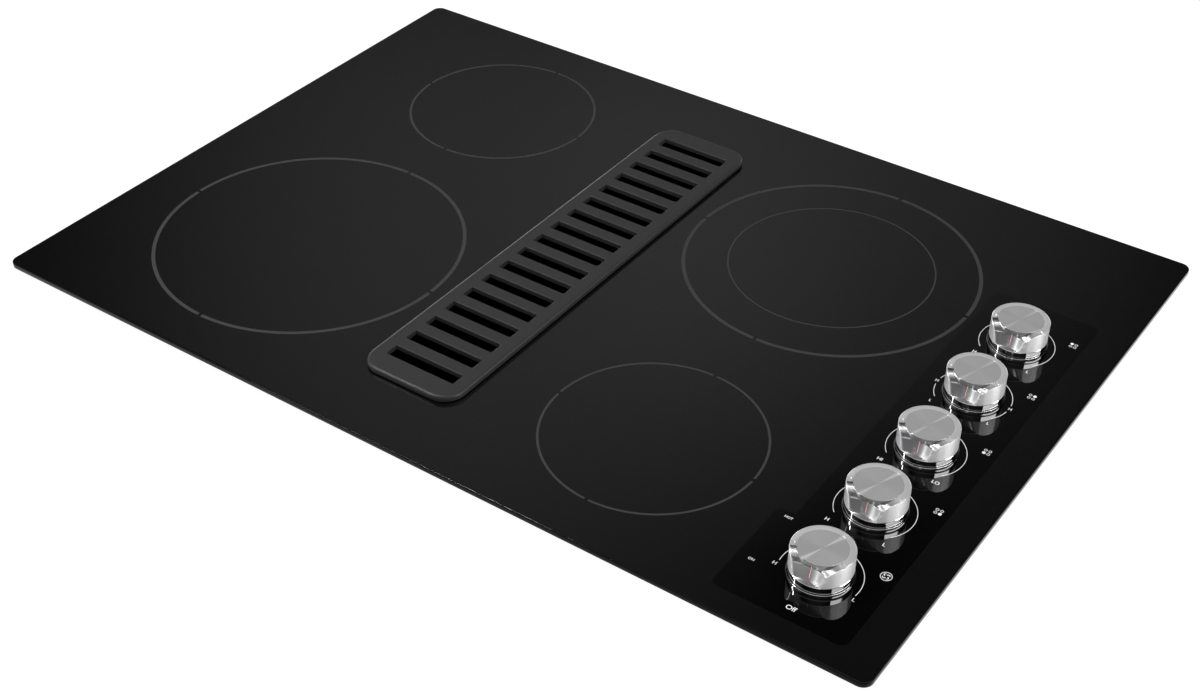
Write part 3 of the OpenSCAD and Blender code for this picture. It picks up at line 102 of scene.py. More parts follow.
# %% A socket that can be used in a sum
class Wire:
    """One output socket of a shader tree."""

    def __init__(self, tree, socket=None):
        self.tree = tree
        self.socket = socket

    def node(self, kind, settings=None, values=None, out=0):
        """Adds a node, sets its settings and then its sockets, and gives one output."""
        made = self.tree.nodes.new("ShaderNode" + kind)
        for name, value in (settings or {}).items():
            setattr(made, name, value)
        for name, value in (values or {}).items():
            self.feed(made.inputs[name], value)
        return Wire(self.tree, made.outputs[out])

    def feed(self, socket, value):
        if isinstance(value, Wire):
            self.tree.links.new(value.socket, socket)
        elif socket.type == "RGBA":
            socket.default_value = (*value, 1)
        else:
            socket.default_value = value

    def sum(self, operation, *others):
        """A Math node of this socket and the others."""
        values = dict(enumerate((self, *others)))
        return self.node("Math", {"operation": operation}, values)

    def __add__(self, other):
        return self.sum("ADD", other)

    __radd__ = __add__

    def __sub__(self, other):
        return self.sum("SUBTRACT", other)

    def __rsub__(self, other):
        return self.node("Math", {"operation": "SUBTRACT"}, {0: other, 1: self})

    def __mul__(self, other):
        return self.sum("MULTIPLY", other)

    __rmul__ = __mul__

    def __truediv__(self, other):
        return self.sum("DIVIDE", other)

    def __gt__(self, other):
        return self.sum("GREATER_THAN", other)

    def __lt__(self, other):
        return self.sum("LESS_THAN", other)


print("a Wire can be added, subtracted, multiplied, divided and compared")

# %% [markdown]
# ## Small words for shaders
# The finishes share a few phrases: a place on the piece in millimetres, a smooth step, a
# noise, a bump. Each is one short function. Places are read from Object coordinates, so
# that a pattern stays on its piece when the piece moves.

# %% Phrases that the finishes share
def place(wire):
    """Where the shaded point is, in millimetres."""
    metres = wire.node("TexCoord", out="Object")
    return metres.node("VectorMath", {"operation": "SCALE"}, {0: metres, "Scale": 1000})


def split(vector):
    parts = vector.node("SeparateXYZ", values={0: vector})
    outputs = parts.socket.node.outputs
    return [Wire(vector.tree, outputs[i]) for i in range(3)]


def join(x, y, z):
    wire = next(part for part in (x, y, z) if isinstance(part, Wire))
    return wire.node("CombineXYZ", values={0: x, 1: y, 2: z})


def step(wire, low, high, start=0.0, end=1.0):
    """Rises smoothly from start to end as the wire goes from low to high."""
    values = {0: wire, 1: low, 2: high, 3: start, 4: end}
    return wire.node("MapRange", {"interpolation_type": "SMOOTHSTEP"}, values)


def noise(vector, scale, detail=2.0, roughness=0.5):
    """A soft noise between 0 and 1, whose lumps are about one over scale wide."""
    values = {"Vector": vector, "Scale": scale, "Detail": detail, "Roughness": roughness}
    return vector.node("TexNoise", {}, values)


def stretch(vector, x, y, z):
    """The place, stretched along each axis."""
    return vector.node("VectorMath", {"operation": "MULTIPLY"}, {0: vector, 1: (x, y, z)})


def bump(height, distance, strength=1.0):
    """A normal from a height between 0 and 1, whose full height is distance in metres."""
    values = {"Height": height, "Distance": distance, "Strength": strength}
    return height.node("Bump", {}, values)


def tinted(tint, shade):
    """A colour made lighter or darker by a shade."""
    return join(*[shade * part for part in tint])


def shaded(name, write):
    """A material called name. The function write adds its nodes and gives the last one."""
    material = bpy.data.materials.new(name)
    material.use_nodes = True
    tree = material.node_tree
    tree.nodes.clear()
    end = tree.nodes.new("ShaderNodeOutputMaterial")
    tree.links.new(write(Wire(tree)).socket, end.inputs["Surface"])
    return material


FINISHES = {}


def finish(name, write):
    """Keeps a finish, written by a function that gives the sockets of its shader."""
    FINISHES[name] = shaded(name, lambda wire: wire.node("BsdfPrincipled", {}, write(wire)))


print("shader phrases are ready")

# %% [markdown]
# ## Black glass
# The top is glass-ceramic, black all through, with a fine net of dots printed on it that
# hides scratches. The dots scatter a little light, which is why the glass looks charcoal
# and not black. The control panel at the right is bare of dots and polished, so it
# mirrors the knobs. One material covers both: a mask that is 1 on the panel takes the dots
# away and makes the surface smooth. Round the edge and below, the ground glass is black.
# A metal as dark as this mirrors next to nothing, so there the shader is mostly metal.

# %% The outline of the control panel, as a distance
PANEL_WIDE = {"x": (264, 364), "y": (-254.5, -166)}
PANEL_LONG = {"x": (277, 364), "y": (-254.5, 151.5)}
PANEL_CORNER = 6.0
PANEL_BLUR = 0.15


def box_distance(x, y, box, corner):
    """Distance from a rectangle with round corners: negative inside it."""
    (x0, x1), (y0, y1) = box["x"], box["y"]
    across = (x - (x0 + x1) / 2).sum("ABSOLUTE") - ((x1 - x0) / 2 - corner)
    along = (y - (y0 + y1) / 2).sum("ABSOLUTE") - ((y1 - y0) / 2 - corner)
    outside = join(across.sum("MAXIMUM", 0), along.sum("MAXIMUM", 0), 0)
    length = outside.node("VectorMath", {"operation": "LENGTH"}, {0: outside}, out="Value")
    return length + across.sum("MAXIMUM", along).sum("MINIMUM", 0) - corner


def panel_mask(x, y):
    wide = box_distance(x, y, PANEL_WIDE, PANEL_CORNER)
    long = box_distance(x, y, PANEL_LONG, PANEL_CORNER)
    return step(wide.sum("MINIMUM", long), -PANEL_BLUR, PANEL_BLUR, 1.0, 0.0)


print("the control panel lies over x", PANEL_LONG["x"], "and y", PANEL_LONG["y"])

# %% The glass itself
GLASS_TOP = 6.0
GLASS_TONE = 0.0011
DOT_PITCH = 1.05
DOT_ROW = 0.866 * DOT_PITCH
DOT_RADIUS = 0.30
DOT_BLUR = 0.06
DOT_TONE = 0.0068


def dots(x, y):
    """A net of round dots in staggered rows, 1 on a dot."""
    row = (y / DOT_ROW).sum("FLOOR")
    shift = (row * 0.5).sum("FRACT")
    across = ((x / DOT_PITCH + shift).sum("FRACT") - 0.5) * DOT_PITCH
    along = ((y / DOT_ROW).sum("FRACT") - 0.5) * DOT_ROW
    far = (across * across + along * along).sum("SQRT")
    return step(far, DOT_RADIUS - DOT_BLUR, DOT_RADIUS + DOT_BLUR, 1.0, 0.0)


def black_glass(wire):
    spot = place(wire)
    x, y, z = split(spot)
    on_top = z > GLASS_TOP - 0.05
    panel = panel_mask(x, y)
    printed = dots(x, y) * (1 - panel) * on_top
    film = noise(spot, 0.02, 3) * 0.25 + 0.875
    level = GLASS_TONE + printed * film * DOT_TONE
    smear = noise(stretch(spot, 1.0, 0.3, 1.0), 0.05, 4)
    dotted_gloss = 0.10 + 0.04 * smear
    panel_gloss = 0.012 + 0.012 * smear
    return {"Base Color": join(level, level, level * 1.03), "IOR": 1.5,
            "Roughness": dotted_gloss * (1 - panel) + panel_gloss * panel,
            "Metallic": (1 - on_top) * 0.85}


finish("black_glass", black_glass)
print("black glass: dots every", DOT_PITCH, "mm")

# %% [markdown]
# ## Metal finishes
# Sheet steel in an appliance is hot-dip galvanised, and its zinc freezes in large crystals
# called spangle. Voronoi cells give those crystals, each a slightly different grey and
# gloss. Turned or brushed metal has fine grooves instead, made here by noise that is
# stretched a hundred times along the grooves.

# %% Sheet steel and other plain metals
def galvanised(tint, rough):
    """Zinc-coated sheet with a spangle of crystals about 7 mm across."""
    def write(wire):
        spot = place(wire)
        bent = spot.node("VectorMath", {"operation": "ADD"},
                         {0: spot, 1: stretch(noise(spot, 0.15, 2), 6, 6, 6)})
        cell = spot.node("TexVoronoi", {}, {"Vector": bent, "Scale": 0.15}, out="Color")
        level = split(cell)[0]
        fine = noise(spot, 0.9, 4, 0.6)
        shade = 0.86 + 0.15 * level + 0.10 * (fine - 0.5)
        return {"Base Color": tinted(tint, shade), "Metallic": 1.0,
                "Roughness": rough + 0.07 * (level - 0.5) + 0.10 * (fine - 0.5),
                "Normal": bump(fine, 0.00006, 0.5)}
    return write


def brushed(tint, rough):
    """Metal with fine grooves along X."""
    def write(wire):
        spot = place(wire)
        grooves = noise(stretch(spot, 0.02, 3.0, 3.0), 2.0, 3, 0.6)
        cloud = noise(spot, 0.04, 3)
        shade = 0.90 + 0.14 * (grooves - 0.5) + 0.12 * cloud
        return {"Base Color": tinted(tint, shade), "Metallic": 1.0,
                "Roughness": rough + 0.10 * (grooves - 0.5) + 0.08 * (cloud - 0.5),
                "Normal": bump(grooves, 0.00002, 0.6)}
    return write


for name, tint, rough in (
    ("box_steel", (0.46, 0.47, 0.48), 0.42),
    ("duct_steel", (0.55, 0.56, 0.57), 0.36),
    ("bracket_steel", (0.50, 0.51, 0.52), 0.38),
    ("wheel_steel", (0.58, 0.59, 0.60), 0.34),
    ("pan_steel", (0.56, 0.57, 0.58), 0.32),
):
    finish(name, galvanised(tint, rough))
for name, tint, rough in (
    ("spring_steel", (0.50, 0.51, 0.54), 0.28),
    ("shaft_steel", (0.62, 0.62, 0.63), 0.22),
    ("screw_steel", (0.62, 0.61, 0.58), 0.30),
    ("filter_aluminium", (0.72, 0.73, 0.74), 0.34),
    ("filter_mesh", (0.62, 0.63, 0.64), 0.38),
    ("flap_aluminium", (0.70, 0.71, 0.72), 0.30),
):
    finish(name, brushed(tint, rough))
print("metals:", len(FINISHES) - 1)

# %% [markdown]
# ## Soft, moulded and painted finishes
# Foam, rubber and moulded plastic scatter light from a slightly uneven skin, so each is a
# base colour that wanders a little, a high roughness and a fine bump. The insulation under
# the zones is felted fibre, the ribbon on it an oxidised alloy, and the motor is painted.

# %% Everything that isn't bare metal or glass
def moulded(tint, rough, lump, depth):
    """Plastic, rubber, paint or fibre, with lump bumps to a millimetre, depth mm deep."""
    def write(wire):
        spot = place(wire)
        skin = noise(spot, lump, 4, 0.6)
        cloud = noise(spot, 0.06, 3)
        shade = 1.0 + 0.20 * (cloud - 0.5) + 0.10 * (skin - 0.5)
        return {"Base Color": tinted(tint, shade),
                "Roughness": rough + 0.12 * (skin - 0.5),
                "Normal": bump(skin, depth * MM, 0.7)}
    return write


for name, tint, rough, lump, depth in (
    ("gasket", (0.020, 0.020, 0.021), 0.85, 2.5, 0.25),
    ("insulation", (0.80, 0.77, 0.70), 0.95, 0.7, 0.60),
    ("limiter", (0.78, 0.75, 0.68), 0.55, 1.0, 0.05),
    ("lamp", (0.36, 0.03, 0.02), 0.12, 0.3, 0.01),
    ("harness", (0.46, 0.43, 0.37), 0.70, 1.5, 0.20),
    ("motor", (0.030, 0.031, 0.034), 0.42, 1.6, 0.04),
    ("capacitor", (0.035, 0.036, 0.040), 0.35, 0.8, 0.02),
    ("pad", (0.018, 0.018, 0.018), 0.80, 2.0, 0.08),
    ("ribbon", (0.120, 0.095, 0.080), 0.60, 0.8, 0.05),
    ("switch", (0.60, 0.57, 0.48), 0.50, 0.9, 0.03),
    ("drum", (0.74, 0.73, 0.69), 0.45, 0.9, 0.02),
    # White ink prints the dial marks; on the knobs it paints a highlight beside the red
    # pointer.
    ("white_ink", (0.86, 0.86, 0.86), 0.55, 1.5, 0.01),
    ("ring_ink", (0.023, 0.023, 0.024), 0.60, 1.5, 0.01),
    ("red_ink", (0.60, 0.03, 0.03), 0.45, 1.5, 0.01),
):
    finish(name, moulded(tint, rough, lump, depth))
print("soft, moulded and painted finishes are ready")

# %% [markdown]
# ## The grille's finish
# The grille is cast and powder-coated in charcoal. Powder coating melts into a skin with a
# very fine orange-peel texture, matte enough to show no reflection but with a soft sheen
# along every rounded edge. Below the plate, inside the opening, the coat is painted paler:
# painted light that lifts the skirt and the blades out of the shade in the slots.

# %% Powder coat
# The second tone is painted light on the faces inside the opening, which lie in the slots'
# shade.
COAT_TONE, PAINTED_LIGHT_TONE = 0.023, 0.070
PAINTED_LIGHT_BELOW = 8.0


def powder_coat(wire):
    spot = place(wire)
    peel = noise(spot, 2.2, 3, 0.55)
    cloud = noise(spot, 0.03, 2)
    shade = 1.0 + 0.10 * (cloud - 0.5) + 0.16 * (peel - 0.5)
    # Below this height the coat is painted paler: painted light in the slots' shade.
    level = shade * step(split(spot)[2], PAINTED_LIGHT_BELOW - 1, PAINTED_LIGHT_BELOW, PAINTED_LIGHT_TONE, COAT_TONE)
    return {"Base Color": join(level, level, level * 1.04),
            "Roughness": 0.40 + 0.10 * (peel - 0.5),
            "Specular IOR Level": 0.35, "Normal": bump(peel, 0.00003, 0.6)}


finish("grille", powder_coat)
print("powder coat: grey", COAT_TONE, "on top and", PAINTED_LIGHT_TONE, "inside")

# %% [markdown]
# ## The knobs' finish
# A knob has five faces. The disc on top is turned, so its grooves are circles and a lamp's
# reflection spreads into a bright spoke. The rim, the scoop and the wall are satin, each a
# little different, and each face's base tone is also set to how light it looks under the
# lamps, which is painted light and shade. Satin metal scatters part of its light as paint
# does, so these faces are only partly metallic. The band at the foot is polished like a
# mirror and shows the black panel. Blender's metal has an anisotropic setting for the
# grooves: without a tangent it follows circles around the piece's own middle, which is what
# turning leaves behind.

# %% Turned, satin and polished metal on one knob
KNOB_X = 319.0
KNOB_FIRST_Y = -206.0
KNOB_PITCH = 75.75
KNOBS = ("fan", "right_front", "left_front", "right_rear", "left_rear")
KNOB_R = 22.0
KNOB_LOW = 2.6
KNOB_HIGH = 23.4
BAND_HIGH = KNOB_LOW + 5.0
DISC_R = 17.5
SHOULDER = 0.9
WALL_HIGH = KNOB_HIGH - SHOULDER
# The disc, the rim, the scoop and the wall, in this order.
# The tones are partly the faces' finishes and partly painted light and shade, set to how light
# each face looks.
KNOB_PAINTED_TONES = (0.40, 0.66, 0.64, 0.96)
KNOB_SATIN = (0.26, 0.20, 0.33, 0.30)
KNOB_SCATTER = (0.55, 0.45, 0.0, 0.50)
BAND_TONE, BAND_GLOSS = 0.70, 0.04


def knob_y(i):
    return KNOB_FIRST_Y + i * KNOB_PITCH


def weighed(masks, values):
    """The sum of the values, each times its mask."""
    return sum(mask * value for mask, value in zip(masks, values))


def knob_masks(far, height):
    """The disc, the rim, the scoop and the wall, and the band, each 1 on its own face."""
    on_disc = (far < DISC_R - 0.25) * (height > WALL_HIGH)
    on_rim = (height > WALL_HIGH - 0.05) * (1 - on_disc)
    in_band = step(height, BAND_HIGH - 0.1, BAND_HIGH + 0.1, 1.0, 0.0)
    inside = step(far, KNOB_R - 1.0, KNOB_R - 0.3, 1.0, 0.0)
    in_scoop = inside * (1 - on_disc) * (1 - on_rim)
    on_wall = (1 - on_disc) * (1 - on_rim) * (1 - in_scoop) * (1 - in_band)
    return (on_disc, on_rim, in_scoop, on_wall), in_band


def knob_metal(centre_y):
    """The finish of the knob whose middle is at centre_y, in millimetres."""
    def write(wire):
        x, y, z = split(place(wire))
        across, along, height = x - KNOB_X, y - centre_y, z - GLASS_TOP
        far = (across * across + along * along).sum("SQRT")
        masks, in_band = knob_masks(far, height)
        circles = noise(join(far, 0, 0), 9.0, 3, 0.7)
        hoops = noise(join(height, far * 0.5, 0), 9.0, 3, 0.7)
        grooves = circles * masks[0] + hoops * (1 - masks[0])
        wear = grooves - 0.5
        band = BAND_TONE * in_band * (1 - masks[2])
        # The face tones paint part of the light and shade on the knob.
        level = weighed(masks, KNOB_PAINTED_TONES) + band + 0.08 * wear
        satin = weighed(masks, KNOB_SATIN) + 0.05 * wear
        return {"Base Color": join(level, level, level * 1.01),
                "Metallic": 1 - weighed(masks, KNOB_SCATTER),
                "Roughness": satin * (1 - in_band) + BAND_GLOSS * in_band,
                "Anisotropic": 1.0, "Anisotropic Rotation": 0.25,
                "Normal": bump(grooves * (1 - in_band), 0.000005, 0.4)}
    return write


def ring_metal(wire):
    spot = place(wire)
    speck = noise(spot, 1.5, 3)
    level = 0.70 + 0.06 * (speck - 0.5)
    return {"Base Color": join(level, level, level), "Metallic": 1.0,
            "Roughness": 0.10 + 0.06 * (speck - 0.5)}


for i, name in enumerate(KNOBS):
    finish(name + "_metal", knob_metal(knob_y(i)))
finish("ring_chrome", ring_metal)
print("knob finishes:", len(KNOBS))

# %% [markdown]
# ## Building with outlines
# Most of the flat pieces are stacks of rounded rectangles. A grid of one square with its
# four corners bevelled is such a rectangle, and bridging one outline to the next makes the
# wall between them. A rounded edge is then only a few outlines, each a little wider and
# lower than the last. The helpers below work in millimetres, and the finished mesh is
# scaled to metres once.

# %% Outlines, walls and lids
def outline(bm, width, depth, corner, z, x, y, steps):
    """The edges of one rounded rectangle, level, with its middle at x and y."""
    size = Matrix.Diagonal((width, depth, 1, 1))
    made = bmesh.ops.create_grid(bm, x_segments=1, y_segments=1, size=0.5,
                                 matrix=Matrix.Translation((x, y, z)) @ size)
    before = set(bm.faces) - {face for vert in made["verts"] for face in vert.link_faces}
    bmesh.ops.bevel(bm, geom=made["verts"], offset=corner, affect="VERTICES", segments=steps,
                    profile=0.5, material=-1, offset_type="OFFSET", clamp_overlap=True)
    face = next(face for face in bm.faces if face not in before)
    edges = list(face.edges)
    bm.faces.remove(face)
    return edges


def rounded(width, depth, corner, x=0.0, y=0.0, steps=8):
    """A maker of rounded rectangles that grow by a given amount."""
    def make(bm, grow, z):
        return outline(bm, width + 2 * grow, depth + 2 * grow, corner + grow, z, x, y, steps)
    return make


def round_hole(radius, x, y):
    """A maker of level circles that grow by a given amount."""
    def make(bm, grow, z):
        made = bmesh.ops.create_circle(bm, cap_ends=False, radius=radius + grow, segments=48,
                                       matrix=Matrix.Translation((x, y, z)))
        return list({edge for vert in made["verts"] for edge in vert.link_edges})
    return make


def bridge(bm, loops):
    """Walls from each outline to the next."""
    for low, high in zip(loops, loops[1:]):
        bmesh.ops.bridge_loops(bm, edges=low + high)


def lid(bm, *loops):
    """Fills the space between an outline and the outlines inside it."""
    edges = [edge for loop in loops for edge in loop]
    made = bmesh.ops.triangle_fill(bm, use_beauty=True, use_dissolve=False, edges=edges)
    return [item for item in made["geom"] if isinstance(item, bmesh.types.BMFace)]


def quarter(radius, count):
    """Steps round a quarter circle from its top: how far in, and how far down."""
    angles = [math.radians(90 * k / count) for k in range(count + 1)]
    return [(radius * (1 - math.sin(a)), radius * (1 - math.cos(a))) for a in angles]


print("outlines, walls and lids are ready")

# %% From a bmesh to a finished piece
def mesh_of(name, bm):
    """The mesh of a bmesh, which is freed."""
    mesh = bpy.data.meshes.new(name)
    bm.to_mesh(mesh)
    bm.free()
    return mesh


def to_metres(bm):
    bmesh.ops.scale(bm, vec=(MM, MM, MM), verts=bm.verts[:])


def close_up(bm):
    """Merges what lies in one place and turns every face outwards."""
    bmesh.ops.remove_doubles(bm, verts=bm.verts[:], dist=0.0005)
    bmesh.ops.recalc_face_normals(bm, faces=bm.faces[:])


def dressed(name, bm, *materials):
    """An object of a bmesh, with its materials."""
    mesh = mesh_of(name, bm)
    for material in materials:
        mesh.materials.append(material)
    return stand(name, mesh)


def piece(name, bm, finishes, body, slot, *nodes, smooth=35.0):
    """Makes a piece of a mesh in millimetres, smooth but for edges over smooth degrees.

    It moves with a body and replaces the nodes. The slot is not used.
    """
    to_metres(bm)
    made = dressed(name, bm, *[FINISHES[item] for item in finishes])
    made.data.shade_smooth()
    made.data.set_sharp_from_angle(angle=math.radians(smooth))
    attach(made, body)
    if nodes:
        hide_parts(*nodes)
    print(made.name, "rides on", body, "with", len(made.data.polygons), "faces")


print("pieces can wear", len(FINISHES), "finishes")

# %% [markdown]
# ## The glass plate
# A glass top is ground to size and its edge polished round, or it would cut. Its opening
# for the vent and its five shaft holes are ground the same way. The plate is two lids, one
# over and one under, joined by walls whose outlines step round the polished edge.

# %% The glass plate, its vent opening and its shaft holes
GLASS_W, GLASS_D = 782.6, 549.3
GLASS_LOW = 1.5
GLASS_CORNER = 8.0
GLASS_POLISH = 0.7
FLAT_RIM = 0.6
HOLE_POLISH = 0.3
VENT_X, VENT_Y = -28.0, -5.0
GRILLE_W, GRILLE_D = 88.0, 420.0
GRILLE_CORNER = 18.0
GRILLE_LAP = 6.0
SHAFT_HOLE = 6.5


def polished(bm, make, z_low, z_high, polish, sign):
    """Outlines up a wall whose two edges are rounded. Sign is -1 round a hole.

    The first and last outline lie on the flat, a little way in. They keep the smooth
    shading of the rounded edge from bending the wide lids.
    """
    flat = polish + FLAT_RIM
    loops = [make(bm, -sign * flat, z_high)]
    for inset, drop in quarter(polish, 4):
        loops.append(make(bm, -sign * inset, z_high - drop))
    for inset, drop in reversed(quarter(polish, 4)):
        loops.append(make(bm, -sign * inset, z_low + drop))
    loops.append(make(bm, -sign * flat, z_low))
    bridge(bm, loops)
    return loops[0], loops[-1]


def glass_plate():
    bm = bmesh.new()
    edge = rounded(GLASS_W, GLASS_D, GLASS_CORNER)
    vent = rounded(GRILLE_W - 2 * GRILLE_LAP, GRILLE_D - 2 * GRILLE_LAP,
                   GRILLE_CORNER - GRILLE_LAP, VENT_X, VENT_Y)
    walls = [polished(bm, edge, GLASS_LOW, GLASS_TOP, GLASS_POLISH, 1),
             polished(bm, vent, GLASS_LOW, GLASS_TOP, GLASS_POLISH, -1)]
    for i in range(len(KNOBS)):
        hole = round_hole(SHAFT_HOLE, KNOB_X, knob_y(i))
        walls.append(polished(bm, hole, GLASS_LOW, GLASS_TOP, HOLE_POLISH, -1))
    lid(bm, *[high for high, low in walls])
    lid(bm, *[low for high, low in walls])
    close_up(bm)
    piece("glass_plate", bm, ["black_glass"], "cooktop", "glass", "glass_top")


glass_plate()

# %% [markdown]
# ## The printed rings
# Each zone is marked by a thin grey ring, broken at the four points where a pan's handle
# would line up. A ring is printed as enamel and fired, so it stands a few hundredths of a
# millimetre proud. A small rectangle spun through an arc makes one stretch of it.

# %% Ring lines
INK_LOW = -0.02
INK_HIGH = 0.04
QUARTERS, WHOLE = (0, 90, 180, 270), (0,)
# Each ring's middle, its radius and width, and where its stretches start.
ZONES = (
    (-214.0, 149.0, 84.0, 2.0, QUARTERS),
    (-214.0, -110.5, 126.5, 3.0, QUARTERS),
    (152.7, 106.0, 119.5, 3.0, QUARTERS),
    (152.7, 106.0, 83.5, 1.2, WHOLE),
    (152.7, -153.0, 83.0, 1.8, QUARTERS),
)
RING_GAP = 3.0
RING_STEPS, DIAL_STEPS = 160, 96
DIAL_LARGEST = 40


def arc_line(bm, x, y, radius, line, start, sweep):
    """A flat printed line along an arc. Start and sweep are in degrees from +X."""
    turn = Matrix.Rotation(math.radians(start), 4, "Z")
    middle = Matrix.Translation((x, y, GLASS_TOP))
    corners = [(radius + side * line / 2, 0, z)
               for side, z in ((-1, INK_LOW), (1, INK_LOW), (1, INK_HIGH), (-1, INK_HIGH))]
    verts = [bm.verts.new(middle @ turn @ Vector(corner)) for corner in corners]
    face = bm.faces.new(verts)
    whole = sweep >= 360
    round_steps = RING_STEPS if radius > DIAL_LARGEST else DIAL_STEPS
    steps = max(8, int(sweep / 360 * round_steps))
    bmesh.ops.spin(bm, geom=[face, *face.edges, *verts], cent=(x, y, 0), axis=(0, 0, 1),
                   angle=math.radians(sweep), steps=steps, use_merge=whole,
                   use_normal_flip=False, use_duplicate=False)
    if whole:
        bmesh.ops.delete(bm, geom=[face], context="FACES_ONLY")


def zone_rings():
    bm = bmesh.new()
    for x, y, radius, line, starts in ZONES:
        gap = math.degrees(RING_GAP / radius) if starts == QUARTERS else 0
        for start in starts:
            arc_line(bm, x, y, radius, line, start + gap / 2, 360 / len(starts) - gap)
    close_up(bm)
    piece("zone_rings", bm, ["ring_ink"], "cooktop", "glass")


zone_rings()

# %% [markdown]
# ## The dial marks
# Round every knob a thin white arc shows how far it turns, with H and L at its ends, Off in
# front, and a small picture of the zone that it works. The dials differ, so each has a row
# in a table: its arcs as a start and a sweep, its words as a size and a place seen from
# the knob. Letters are text objects, made a mesh while they still lie at the origin, then
# moved to their place and gathered into the same mesh as the arcs.

# %% Letters, arcs and pictures
DIAL_R = 28.7
DIAL_LINE = 0.45
MARK_X = 355.4
MARK_AHEAD = 22.6
OFF_SIZE, OFF_BEHIND = 5.6, 38.3
LETTER_WEIGHT = 0.002


def letters(bm, words, size, x, y):
    """Adds words as thin solid letters, their middle at x and y."""
    curve = bpy.data.curves.new("letters", "FONT")
    curve.body = words
    curve.size = size
    curve.align_x = "CENTER"
    curve.align_y = "CENTER"
    curve.extrude = (INK_HIGH - INK_LOW) / 2
    curve.offset = size * LETTER_WEIGHT
    curve.resolution_u = 6
    made = stand("letters", curve)
    mesh = bpy.data.meshes.new_from_object(made)
    middle = GLASS_TOP + (INK_HIGH + INK_LOW) / 2
    mesh.transform(Matrix.Translation((x, y, middle)))
    bm.from_mesh(mesh)
    bpy.data.objects.remove(made)
    bpy.data.curves.remove(curve)
    bpy.data.meshes.remove(mesh)


def zone_picture(bm, x, y, filled):
    """Four small rings in a square, with the knob's own zone filled."""
    for k, (across, along) in enumerate(((-1, 1), (-1, -1), (1, 1), (1, -1))):
        radius, line = (0.65, 1.25) if k == filled else (1.05, 0.35)
        arc_line(bm, x + 1.7 * across, y + 1.7 * along, radius, line, 0, 360)


def fan_picture(bm, x, y):
    """A ring with four curved blades."""
    arc_line(bm, x, y, 3.9, 0.4, 0, 360)
    for toward in (45, 135, 225, 315):
        angle = math.radians(toward)
        px, py = x + 1.6 * math.cos(angle), y + 1.6 * math.sin(angle)
        arc_line(bm, px, py, 0.95, 0.55, toward - 60, 200)


print("the dial arcs have a radius of", DIAL_R, "mm")

# %% The dials
WIDE_ARC = ((-41, 262),)
WIDE_WORDS = (("H", 4.6, -22.2, -27.6), ("L", 4.6, 21.2, -27.6))
# Each knob's arcs and words, and which ring of its picture is filled.
DIALS = {
    "fan": (((-9, 198),), (("H", 4.6, -29.6, -8.6), ("L", 4.6, 29.2, -8.6)), None),
    "right_front": (WIDE_ARC, WIDE_WORDS, 3),
    "left_front": (WIDE_ARC, (("HI", 4.6, -22.2, -27.6), ("LO", 4.6, 21.2, -27.6)), 1),
    "right_rear": (((188, 30), (110, 62), (-38, 30), (8, 62)),
                   (("M", 4.0, -29.4, 0), ("L", 4.0, -23, -24), ("H", 4.0, -5.5, 30),
                    ("M", 4.0, 29.4, 0), ("L", 4.0, 23, -24), ("H", 4.0, 5.5, 30)), 2),
    "left_rear": (WIDE_ARC, WIDE_WORDS, 0),
}
LAMP_WORDS = (("ON", 275, -220.4), ("HOT", 275, -171.6))
LAMP_WORD_SIZE = 3.0


def dial(bm, name, y):
    arcs, words, filled = DIALS[name]
    letters(bm, "Off", OFF_SIZE, KNOB_X, y - OFF_BEHIND)
    for start, sweep in arcs:
        arc_line(bm, KNOB_X, y, DIAL_R, DIAL_LINE, start, sweep)
    for word, size, across, along in words:
        letters(bm, word, size, KNOB_X + across, y + along)
    if filled is None:
        fan_picture(bm, MARK_X, y + MARK_AHEAD)
    else:
        zone_picture(bm, MARK_X, y + MARK_AHEAD, filled)


def dial_marks():
    bm = bmesh.new()
    for i, name in enumerate(KNOBS):
        dial(bm, name, knob_y(i))
    for word, x, y in LAMP_WORDS:
        letters(bm, word, LAMP_WORD_SIZE, x, y)
    close_up(bm)
    piece("dial_marks", bm, ["white_ink"], "cooktop", "glass")


dial_marks()

# %% [markdown]
# ## The vent grille
# The grille is one casting: a plate with a rolled outer edge and seventeen slots, a skirt
# that drops into the opening, and a thin blade under each bar that stiffens it and hides
# the filter. The plate is one lid with seventeen holes. Its outer edge is a stack of
# outlines round a quarter circle, and each slot has its own small rounding.

# %% The grille's plate, slots, skirt and blades
GRILLE_LOW = 7.0
GRILLE_HIGH = 11.5
GRILLE_EDGE = 2.5
GRILLE_FOOT = 0.4
SKIRT_LOW = -4.0
SKIRT_WALL = 2.5
SKIRT_GAP = 1.0
SKIRT_EDGE = 0.5
JOIN = 0.5
SLOT_COUNT = 17
SLOT_PITCH = 23.06
SLOT_X, SLOT_Y = 64.0, 12.0
SLOT_CORNER = 1.2
SLOT_EDGE = 0.45
BLADE = 3.0


def slot_middle(i):
    return VENT_Y + (i - (SLOT_COUNT - 1) / 2) * SLOT_PITCH


